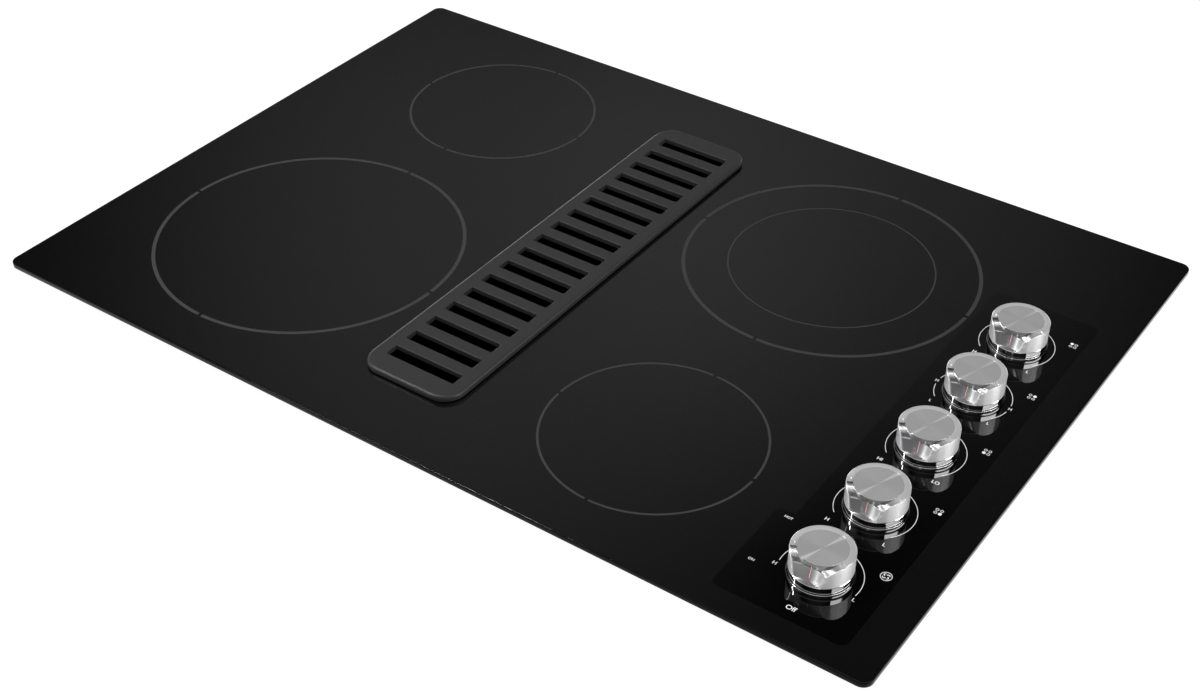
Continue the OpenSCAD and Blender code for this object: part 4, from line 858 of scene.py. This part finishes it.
def grille_plate(bm):
    make = rounded(GRILLE_W, GRILLE_D, GRILLE_CORNER, VENT_X, VENT_Y, 12)
    outer = [make(bm, -GRILLE_EDGE - FLAT_RIM, GRILLE_HIGH)]
    outer += [make(bm, -inset, GRILLE_HIGH - drop) for inset, drop in quarter(GRILLE_EDGE, 6)]
    outer += [make(bm, 0, GRILLE_LOW + GRILLE_FOOT), make(bm, -GRILLE_FOOT, GRILLE_LOW)]
    bridge(bm, outer)
    slots = []
    for i in range(SLOT_COUNT):
        hole = rounded(SLOT_X, SLOT_Y, SLOT_CORNER, VENT_X, slot_middle(i), 5)
        loops = [hole(bm, SLOT_EDGE + FLAT_RIM, GRILLE_HIGH)]
        loops += [hole(bm, inset, GRILLE_HIGH - drop) for inset, drop in quarter(SLOT_EDGE, 3)]
        loops.append(hole(bm, 0, GRILLE_LOW))
        bridge(bm, loops)
        slots.append((loops[0], loops[-1]))
    lid(bm, outer[0], *[high for high, low in slots])
    lid(bm, outer[-1], *[low for high, low in slots])


def grille_skirt(bm):
    width = GRILLE_W - 2 * (GRILLE_LAP + SKIRT_GAP)
    depth = GRILLE_D - 2 * (GRILLE_LAP + SKIRT_GAP)
    corner = GRILLE_CORNER - GRILLE_LAP - SKIRT_GAP
    outer = rounded(width, depth, corner, VENT_X, VENT_Y)
    inner = rounded(width - 2 * SKIRT_WALL, depth - 2 * SKIRT_WALL, corner - SKIRT_WALL,
                    VENT_X, VENT_Y)
    high, foot = GRILLE_LOW + JOIN, SKIRT_LOW + SKIRT_EDGE
    loops = [outer(bm, 0, high), outer(bm, 0, foot), outer(bm, -SKIRT_EDGE, SKIRT_LOW),
             inner(bm, SKIRT_EDGE, SKIRT_LOW), inner(bm, 0, foot), inner(bm, 0, high)]
    bridge(bm, loops + [loops[0]])


def grille_blades(bm):
    length = GRILLE_W - 2 * (GRILLE_LAP + SKIRT_GAP + SKIRT_WALL - JOIN)
    high, low = GRILLE_LOW + JOIN, SKIRT_LOW
    for i in range(SLOT_COUNT - 1):
        y = slot_middle(i) + SLOT_PITCH / 2
        move = Matrix.Translation((VENT_X, y, (high + low) / 2))
        size = Matrix.Diagonal((length, BLADE, high - low, 1))
        bmesh.ops.create_cube(bm, size=1, matrix=move @ size)


def vent_grille():
    bm = bmesh.new()
    grille_plate(bm)
    grille_skirt(bm)
    grille_blades(bm)
    close_up(bm)
    piece("grille_casting", bm, ["grille"], "grille", "grille", "vent_grille")


vent_grille()

# %% [markdown]
# ## The knobs
# A knob is a turned metal body with a thin brushed disc on top, a finger scoop in front and
# a pointer in the scoop. The body is first spun from its profile, plain and round. The
# scoop is then pressed into it: every vertex is moved inward to a cone that stands upright
# in front of the knob, or downward to the flare that opens the scoop towards the rim. A
# Boolean would cut the same shape, but its lips would be sharp. Taking the smaller of two
# distances with a soft minimum leaves them rounded, as polishing does.

# %% The scoop, as the distance at which it stops the knob's wall
DISC_T = 0.8
DISC_SEAT = 15.5
SEAT_HIGH = KNOB_HIGH - DISC_T
SCOOP_AXIS = 42.0
SCOOP_LOW_R = SCOOP_AXIS - 17.7
SCOOP_HIGH_R = SCOOP_AXIS - 13.6
FLARE_W, FLARE_H = 12.5, 5.0
NOT_REACHED = 1000.0
LIP_LOW, LIP_HIGH = BAND_HIGH + 6, SEAT_HIGH - 0.3
LIP_ANGLE = math.radians(74)
LIP_ROUND, RIM_ROUND, SEAT_ROUND = 2.6, 0.7, 0.05
SPIN_STEPS = 240


def soft_minimum(a, b, rounding):
    """The smaller of two numbers, with the corner between them rounded off."""
    near = max(rounding - abs(a - b), 0) / rounding
    return min(a, b) - near * near * rounding / 4


def scoop_reach(angle, height):
    """How far from the knob's axis the scoop's face lies. Angle is from the front."""
    share = (height - BAND_HIGH) / (SEAT_HIGH - BAND_HIGH)
    radius = SCOOP_LOW_R + (SCOOP_HIGH_R - SCOOP_LOW_R) * share
    side = SCOOP_AXIS * math.sin(angle)
    if math.cos(angle) <= 0 or abs(side) >= radius:
        return NOT_REACHED
    return SCOOP_AXIS * math.cos(angle) - math.sqrt(radius * radius - side * side)


def flare_height(angle, far):
    """How high the flare is at a place. It is a quarter of an ellipse round the scoop."""
    x, y = far * math.sin(angle), SCOOP_AXIS - far * math.cos(angle)
    share = (math.hypot(x, y) - SCOOP_HIGH_R) / FLARE_W
    if share >= 1:
        return NOT_REACHED
    share = max(share, 0.0)
    return SEAT_HIGH - FLARE_H + FLARE_H * math.sqrt(1 - (1 - share) ** 2)


def polish(bm, times):
    """Smooths the lips and the flare, which the round grid of vertices leaves ragged."""
    lips = [vert for vert in bm.verts if LIP_LOW < vert.co.z < LIP_HIGH
            and math.hypot(vert.co.x, vert.co.y) > DISC_SEAT - 0.5
            and abs(math.atan2(vert.co.x, -vert.co.y)) < LIP_ANGLE]
    for _ in range(times):
        bmesh.ops.smooth_vert(bm, verts=lips, factor=0.5, use_axis_x=True, use_axis_y=True,
                              use_axis_z=True)


print("the scoop is", round(KNOB_R - scoop_reach(0, BAND_HIGH), 1), "mm deep at its foot and",
      round(KNOB_R - scoop_reach(0, SEAT_HIGH), 1), "mm under the disc")

# %% A round body of a profile
def spun(profile, steps, x=0.0, y=0.0):
    """A closed solid of a profile of (radius, height) points, spun about an upright axis."""
    bm = bmesh.new()
    verts = [bm.verts.new((x + radius, y, z)) for radius, z in profile]
    edges = [bm.edges.new(pair) for pair in zip(verts, verts[1:])]
    bmesh.ops.spin(bm, geom=verts + edges, cent=(x, y, 0), axis=(0, 0, 1),
                   angle=math.tau, steps=steps, use_merge=True, use_normal_flip=False,
                   use_duplicate=False)
    close_up(bm)
    return bm


def add_to(bm, other):
    """Adds one mesh to another and frees it."""
    mesh = mesh_of("part", other)
    bm.from_mesh(mesh)
    bpy.data.meshes.remove(mesh)


print("a knob is spun in", SPIN_STEPS, "steps")

# %% The knob's body and its scoop
GROOVE = 0.2
KNOB_FOOT = 0.3
KNOB_WALL = 2.2
KNOB_HOLLOW = 2.8
WALL_STEPS = 24


def knob_profile():
    """The body's profile, from the middle of its seat, down the wall and back inside."""
    # The points between 13 and 17 mm give the scoop vertices to press.
    seat = [(0, SEAT_HIGH), (8, SEAT_HIGH), (13, SEAT_HIGH), (DISC_SEAT - 0.02, SEAT_HIGH),
            (DISC_SEAT, SEAT_HIGH - 0.01), (16, SEAT_HIGH), (16.6, SEAT_HIGH),
            (DISC_R - 0.3, SEAT_HIGH), (DISC_R - 0.28, KNOB_HIGH - 0.15)]
    angles = [math.radians(a) for a in (*range(4, 90, 6), 90)]
    rim = [(DISC_R + (KNOB_R - DISC_R) * math.sin(a), KNOB_HIGH - SHOULDER * (1 - math.cos(a)))
           for a in angles]
    wall_low = BAND_HIGH + 0.25
    wall = [(KNOB_R, WALL_HIGH + (wall_low - WALL_HIGH) * k / WALL_STEPS)
            for k in range(1, WALL_STEPS + 1)]
    band = [(KNOB_R - GROOVE, BAND_HIGH + 0.1), (KNOB_R - GROOVE, BAND_HIGH),
            (KNOB_R, BAND_HIGH - 0.15), (KNOB_R, KNOB_LOW + KNOB_FOOT)]
    hollow = [(KNOB_R - KNOB_FOOT, KNOB_LOW), (KNOB_R - KNOB_WALL, KNOB_LOW),
              (KNOB_R - KNOB_WALL, KNOB_LOW + KNOB_HOLLOW), (0, KNOB_LOW + KNOB_HOLLOW)]
    return seat + rim + wall + band + hollow


def press_scoop(bm):
    """Moves the vertices of a round body down to the flare and in to the scoop's face."""
    low = BAND_HIGH + 0.1
    for vert in bm.verts:
        far, z = math.hypot(vert.co.x, vert.co.y), vert.co.z
        if far < DISC_SEAT - 5 or z < BAND_HIGH + 0.05:
            continue
        angle = math.atan2(vert.co.x, -vert.co.y)
        if far > DISC_SEAT - 0.01 and z > WALL_HIGH - 0.001:
            z = soft_minimum(z, flare_height(angle, far), RIM_ROUND)
        elif z < WALL_HIGH:
            rim = soft_minimum(WALL_HIGH, flare_height(angle, KNOB_R), RIM_ROUND)
            z = low + (z - low) * (rim - low) / (WALL_HIGH - low)
        rounding = LIP_ROUND if far > DISC_SEAT else SEAT_ROUND
        pressed = soft_minimum(far, scoop_reach(angle, z), rounding)
        if pressed < far:
            vert.co.xy *= pressed / far
        vert.co.z = z


print("the knob's profile has", len(knob_profile()), "points")

# %% The disc and the pointer
DISC_GAP = 0.32
POINTER_LOW, POINTER_HIGH = BAND_HIGH + 2.2, BAND_HIGH + 11.0
POINTER_LINE, POINTER_T, POINTER_AWAY = 0.42, 0.12, 0.32


def knob_disc():
    """The brushed disc that lies on the body and stands out over the scoop."""
    edge = DISC_R - DISC_GAP
    return spun([(0, SEAT_HIGH), (edge - 0.18, SEAT_HIGH), (edge, SEAT_HIGH + 0.12),
                 (edge, KNOB_HIGH - 0.1), (edge - 0.1, KNOB_HIGH), (0, KNOB_HIGH)], SPIN_STEPS)


def knob_pointer(bm):
    """A red line down the scoop's face, with a white painted highlight beside it."""
    lean = (SCOOP_HIGH_R - SCOOP_LOW_R) / (SEAT_HIGH - BAND_HIGH)
    tilt = Matrix.Rotation(-math.atan(lean), 4, "X")
    size = Matrix.Diagonal((POINTER_LINE, POINTER_T, POINTER_HIGH - POINTER_LOW, 1))
    middle = (POINTER_LOW + POINTER_HIGH) / 2
    # The first line is red ink; the second, in white ink, is a painted highlight beside it.
    for side, mark in ((-1, 1), (1, 2)):
        move = Matrix.Translation((side * POINTER_AWAY, -scoop_reach(0, middle), middle))
        made = bmesh.ops.create_cube(bm, size=1, matrix=move @ tilt @ size)
        for face in {face for vert in made["verts"] for face in vert.link_faces}:
            face.material_index = mark


def knob_pattern():
    """One knob at the origin, as a mesh to copy."""
    bm = spun(knob_profile(), SPIN_STEPS)
    press_scoop(bm)
    bmesh.ops.remove_doubles(bm, verts=bm.verts[:], dist=0.004)
    bmesh.ops.dissolve_degenerate(bm, edges=bm.edges[:], dist=0.002)
    bmesh.ops.recalc_face_normals(bm, faces=bm.faces[:])
    polish(bm, 10)
    add_to(bm, knob_disc())
    knob_pointer(bm)
    return mesh_of("knob_pattern", bm)


def place_knobs():
    pattern = knob_pattern()
    for i, name in enumerate(KNOBS):
        bm = bmesh.new()
        bm.from_mesh(pattern)
        bmesh.ops.translate(bm, vec=(KNOB_X, knob_y(i), GLASS_TOP), verts=bm.verts[:])
        # Here white ink paints the highlight beside the red pointer.
        piece(name + "_knob_turned", bm, [name + "_metal", "red_ink", "white_ink"],
              name + "_control", "knob_chrome", name + "_knob", smooth=32.0)
    bpy.data.meshes.remove(pattern)


place_knobs()

# %% [markdown]
# ## The rings round the knobs
# A thin bright ring on the glass frames each knob and hides the shaft hole. It is a small
# rectangle with rounded upper edges, spun once round.

# %% Knob rings
RING_HIGH = GLASS_TOP + 2.5
RING_IN = KNOB_R + 0.35
RING_OUT = RING_IN + 0.8
RING_EDGE = 0.25


def knob_rings():
    bm = bmesh.new()
    near = RING_EDGE * 0.3
    half = [(0, GLASS_TOP), (0, RING_HIGH - RING_EDGE), (near, RING_HIGH - near),
            (RING_EDGE, RING_HIGH)]
    profile = [(RING_IN + x, z) for x, z in half]
    profile += [(RING_OUT - x, z) for x, z in reversed(half)] + [(RING_IN, GLASS_TOP)]
    for i in range(len(KNOBS)):
        add_to(bm, spun(profile, DIAL_STEPS, KNOB_X, knob_y(i)))
    close_up(bm)
    piece("dial_rings", bm, ["ring_chrome"], "cooktop", "ring_chrome", "knob_rings",
          smooth=40.0)


knob_rings()

# %% [markdown]
# ## The blower's motor
# The fan's motor hangs at the right of the blower housing. It is a round steel can with
# cooling ribs, closed by an end bell with a bearing boss, four bolts and short louvres.
# Its can is spun from a profile, hollow inside for the rotor as the real one is, and then
# turned so that its axis lies along X.

# %% The motor's casing
END_WALL = 4
RIB_COUNT, RIB_PITCH, RIB_DEPTH = 14, 3.6, 1.3
RIB_FIRST, RIB_TOP, RIB_FOOT = 8.0, 0.6, 1.0
BELL_LENGTH = 10
BELL_ROUND = ((0, 4), (1, 6), (4, 7.4), (9, 8))
BOSS_R = 16
BELL_BOLTS, BOLT_CIRCLE = 4, 31
BELL_LOUVRES, LOUVRE_CIRCLE, LOUVRE = 12, 22, (9, 1.8, 2.2)
ROTOR_ROOM = 22.5
SHAFT_ROOM = 4.4
CAN_STEPS = 72


def motor_profile(radius, length):
    """The casing's profile, from its bore round the outside to the cavity for the rotor."""
    low = radius - RIB_DEPTH
    points = [(SHAFT_ROOM, 0), (radius, 0), (radius, END_WALL), (low, END_WALL + 0.6)]
    for k in range(RIB_COUNT):
        x = RIB_FIRST + RIB_PITCH * k
        points += [(low, x - RIB_FOOT), (radius, x - RIB_TOP), (radius, x + RIB_TOP),
                   (low, x + RIB_FOOT)]
    bell = length - BELL_LENGTH
    points += [(low, bell), (radius, bell + 0.6)]
    points += [(radius - inset, bell + along) for inset, along in BELL_ROUND]
    points += [(BOSS_R, bell + 8), (BOSS_R - 1, length - 0.4), (BOSS_R - 2, length),
               (0, length), (0, length - END_WALL), (SHAFT_ROOM, length - END_WALL)]
    room = length - 2 * END_WALL
    return points + [(SHAFT_ROOM, room), (ROTOR_ROOM, room), (ROTOR_ROOM, END_WALL),
                     (SHAFT_ROOM, END_WALL), (SHAFT_ROOM, 0)]


def motor_casing():
    low, high = [Vector(corner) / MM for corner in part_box("motor_shell")]
    radius, length = (high.y - low.y) / 2, high.x - low.x
    bm = spun(motor_profile(radius, length), CAN_STEPS)
    for k in range(BELL_BOLTS):
        angle = math.radians(45 + 360 / BELL_BOLTS * k)
        middle = (BOLT_CIRCLE * math.cos(angle), BOLT_CIRCLE * math.sin(angle), length - 1.4)
        bmesh.ops.create_cone(bm, cap_ends=True, segments=6, radius1=3.4, radius2=3.2,
                              depth=2.4, matrix=Matrix.Translation(middle))
    for k in range(BELL_LOUVRES):
        turn = Matrix.Rotation(math.tau * (k + 0.5) / BELL_LOUVRES, 4, "Z")
        move = Matrix.Translation((LOUVRE_CIRCLE, 0, length - 1.8))
        size = Matrix.Diagonal((*LOUVRE, 1))
        bmesh.ops.create_cube(bm, size=1, matrix=turn @ move @ size)
    bmesh.ops.rotate(bm, matrix=Matrix.Rotation(math.radians(90), 3, "Y"), verts=bm.verts[:])
    bmesh.ops.translate(bm, vec=(low.x, (low.y + high.y) / 2, (low.z + high.z) / 2),
                        verts=bm.verts[:])
    piece("motor_casing", bm, ["motor"], "cooktop", "motor", "motor_shell", smooth=30.0)


motor_casing()

# %% [markdown]
# ## Finishes for the carried solids
# The rest of the cooktop is shown by its own solids. The record says which finish each of
# them has, and the finishes above have the same names, so one loop dresses them all.

# %% Dress the carried solids
STAND_INS = {"glass": "black_glass", "knob_chrome": "fan_metal"}
slot_of = {part["node"]: part["material_slot"] for part in frame["record"]["subparts"]}
for node, made in frame["nodes"].items():
    name = slot_of[node]
    made.data.materials.clear()
    made.data.materials.append(FINISHES[STAND_INS.get(name, name)])
print("carried solids dressed:", sum(not made.hide_render for made in frame["nodes"].values()))

# %% [markdown]
# ## The studio
# The cooktop is shown let into a plain white worktop, which hides the works below it as
# a kitchen does, over a pale floor. Both are white to the camera, so the picture's ground
# is clean, and both take light as pale surfaces otherwise.

# %% Worktop and floor
WORKTOP = {"x": (-450, 600), "y": (-600, 320)}
WORKTOP_T = 38.0
CUTOUT_W, CUTOUT_D = 760.4, 528.6
FLOOR_Z = -0.62
# The share of a backdrop's look that is its own white. The rest is lit, and keeps shadows.
WHITE_SHARE = 0.78
WHITE_GLOW = 1.16
GROUND_TONE = 0.74
SIDE_TONE = 0.72


def ray_kinds(wire):
    """Three sockets, each 1 for its kind of ray: the camera's, mirrored, or let through."""
    outputs = wire.node("LightPath").socket.node.outputs
    names = ("Is Camera Ray", "Is Glossy Ray", "Is Transmission Ray")
    return [Wire(wire.tree, outputs[name]) for name in names]


def backdrop(wire):
    """White to the camera, to metal and to glass, and a pale surface to the lamps."""
    direct, mirrored, through = ray_kinds(wire)
    seen = direct.sum("MAXIMUM", mirrored).sum("MAXIMUM", through)
    surface = wire.node("BsdfDiffuse", {}, {"Color": (GROUND_TONE,) * 3})
    light = wire.node("Emission", {}, {"Color": (1, 1, 1), "Strength": WHITE_GLOW})
    return wire.node("MixShader", {}, {0: seen * WHITE_SHARE, 1: surface, 2: light})


def matt(wire):
    values = {"Base Color": (SIDE_TONE,) * 3, "Roughness": 0.9}
    return wire.node("BsdfPrincipled", {}, values)


def worktop():
    bm = bmesh.new()
    (x0, x1), (y0, y1) = WORKTOP["x"], WORKTOP["y"]
    levels = [(outline(bm, x1 - x0, y1 - y0, 4, z, (x0 + x1) / 2, (y0 + y1) / 2, 4),
               outline(bm, CUTOUT_W, CUTOUT_D, 8, z, 0, 0, 4)) for z in (0.0, -WORKTOP_T)]
    top = lid(bm, *levels[0])
    lid(bm, *levels[1])
    for over, under in zip(*levels):
        bridge(bm, [over, under])
    for face in top:
        face.material_index = 1
    bmesh.ops.recalc_face_normals(bm, faces=bm.faces[:])
    to_metres(bm)
    return dressed("worktop", bm, shaded("worktop_side", matt), shaded("worktop_top", backdrop))


def floor():
    bm = bmesh.new()
    bmesh.ops.create_grid(bm, x_segments=1, y_segments=1, size=6,
                          matrix=Matrix.Translation((0, 0, FLOOR_Z)))
    return dressed("floor", bm, shaded("floor_white", backdrop))


worktop()
floor()
print("the stage is a worktop of", WORKTOP_T, "mm and a floor")

# %% [markdown]
# ## Light
# Glass and metal are seen by what they mirror. The glass mirrors the part of the room
# behind and above the cooktop, so that part is dark, with two dim patches that give the
# dotted glass its charcoal tone. Weak wide glows on the left, in front and overhead light
# the knobs, and three small ones on the horizon are strong. They are small because a strong
# wide glow would lie on the glass as a white haze in a view from low down. Matte things
# see none of this: an even level and two long lamps light them.

# %% The room and the lamps
ROOM_LEVEL = 0.65
DARK_LEVEL = 0.008
# Low down the room is pale, and it darkens between two heights, as sines above the horizon.
PALE_LEVEL = 0.6
PALE_TO, DARK_FROM = 0.03, 0.20
# Each glow is a way out of the room, the cosines at which it starts and is full, and a level.
GLOWS = (
    ((-0.512, 0.627, 0.587), 0.9684, 1.0252, 0.477),
    ((-0.364, 0.760, 0.538), 0.9787, 1.0117, 0.262),
    ((-0.86, -0.42, 0.20), 0.70, 0.96, 1.00),
    ((0.35, -0.90, 0.30), 0.70, 0.97, 0.12),
    ((0.0, 0.0, 1.0), 0.80, 0.97, 0.80),
    ((0.98, 0.15, 0.0), 0.955, 0.99, 4.2),
    ((0.12, 0.98, 0.12), 0.96, 0.99, 0.9),
    ((-0.78, 0.62, 0.0), 0.965, 0.992, 4.0),
)
LAMP_AIM = Vector((0.32, -0.05, 0.0))


def studio(wire):
    """What mirrors see of the room: pale below, dark above, and the glows."""
    way = wire.node("TexCoord", out="Generated")
    total = step(split(way)[2], PALE_TO, DARK_FROM, PALE_LEVEL, DARK_LEVEL)
    for toward, start, full, level in GLOWS:
        near = way.node("VectorMath", {"operation": "DOT_PRODUCT"},
                        {0: way, 1: Vector(toward).normalized()}, out="Value")
        total = total + step(near, start, full, 0.0, level)
    return total


def room():
    world = bpy.data.worlds.new("room")
    bpy.context.scene.world = world
    world.cycles.sampling_method = "NONE"
    world.use_nodes = True
    tree = world.node_tree
    tree.nodes.clear()
    wire = Wire(tree)
    direct, mirrored, through = ray_kinds(wire)
    shiny = mirrored.sum("MAXIMUM", through)
    level = shiny * studio(wire) + (1 - shiny) * ROOM_LEVEL
    level = direct + (1 - direct) * level
    light = wire.node("Background", {}, {"Color": join(level, level, level), "Strength": 1.0})
    end = tree.nodes.new("ShaderNodeOutputWorld")
    tree.links.new(light.socket, end.inputs["Surface"])


def softbox(name, length, width, along, where, brightness):
    """A long lamp, turned to the knobs. Brightness is its radiance, where 1 is white."""
    lamp = bpy.data.lights.new(name, "AREA")
    lamp.shape = "RECTANGLE"
    lamp.size, lamp.size_y = length, width
    lamp.energy = brightness * math.pi * length * width
    back = (Vector(where) - LAMP_AIM).normalized()
    along = Vector(along)
    along = (along - back * along.dot(back)).normalized()
    turn = Matrix((along, back.cross(along), back)).transposed()
    made = stand(name, lamp)
    made.matrix_world = Matrix.Translation(where) @ turn.to_4x4()
    made.visible_camera = False


room()
softbox("right_strip", 2.0, 0.42, (0, 1, 0), (1.85, 0.25, 1.35), 11)
softbox("left_strip", 1.6, 0.055, (0.35, 0.94, 0.59), (-1.12, -0.58, 1.73), 95)
print("the room has", len(GLOWS), "glows and", len(bpy.data.lights), "lamps")
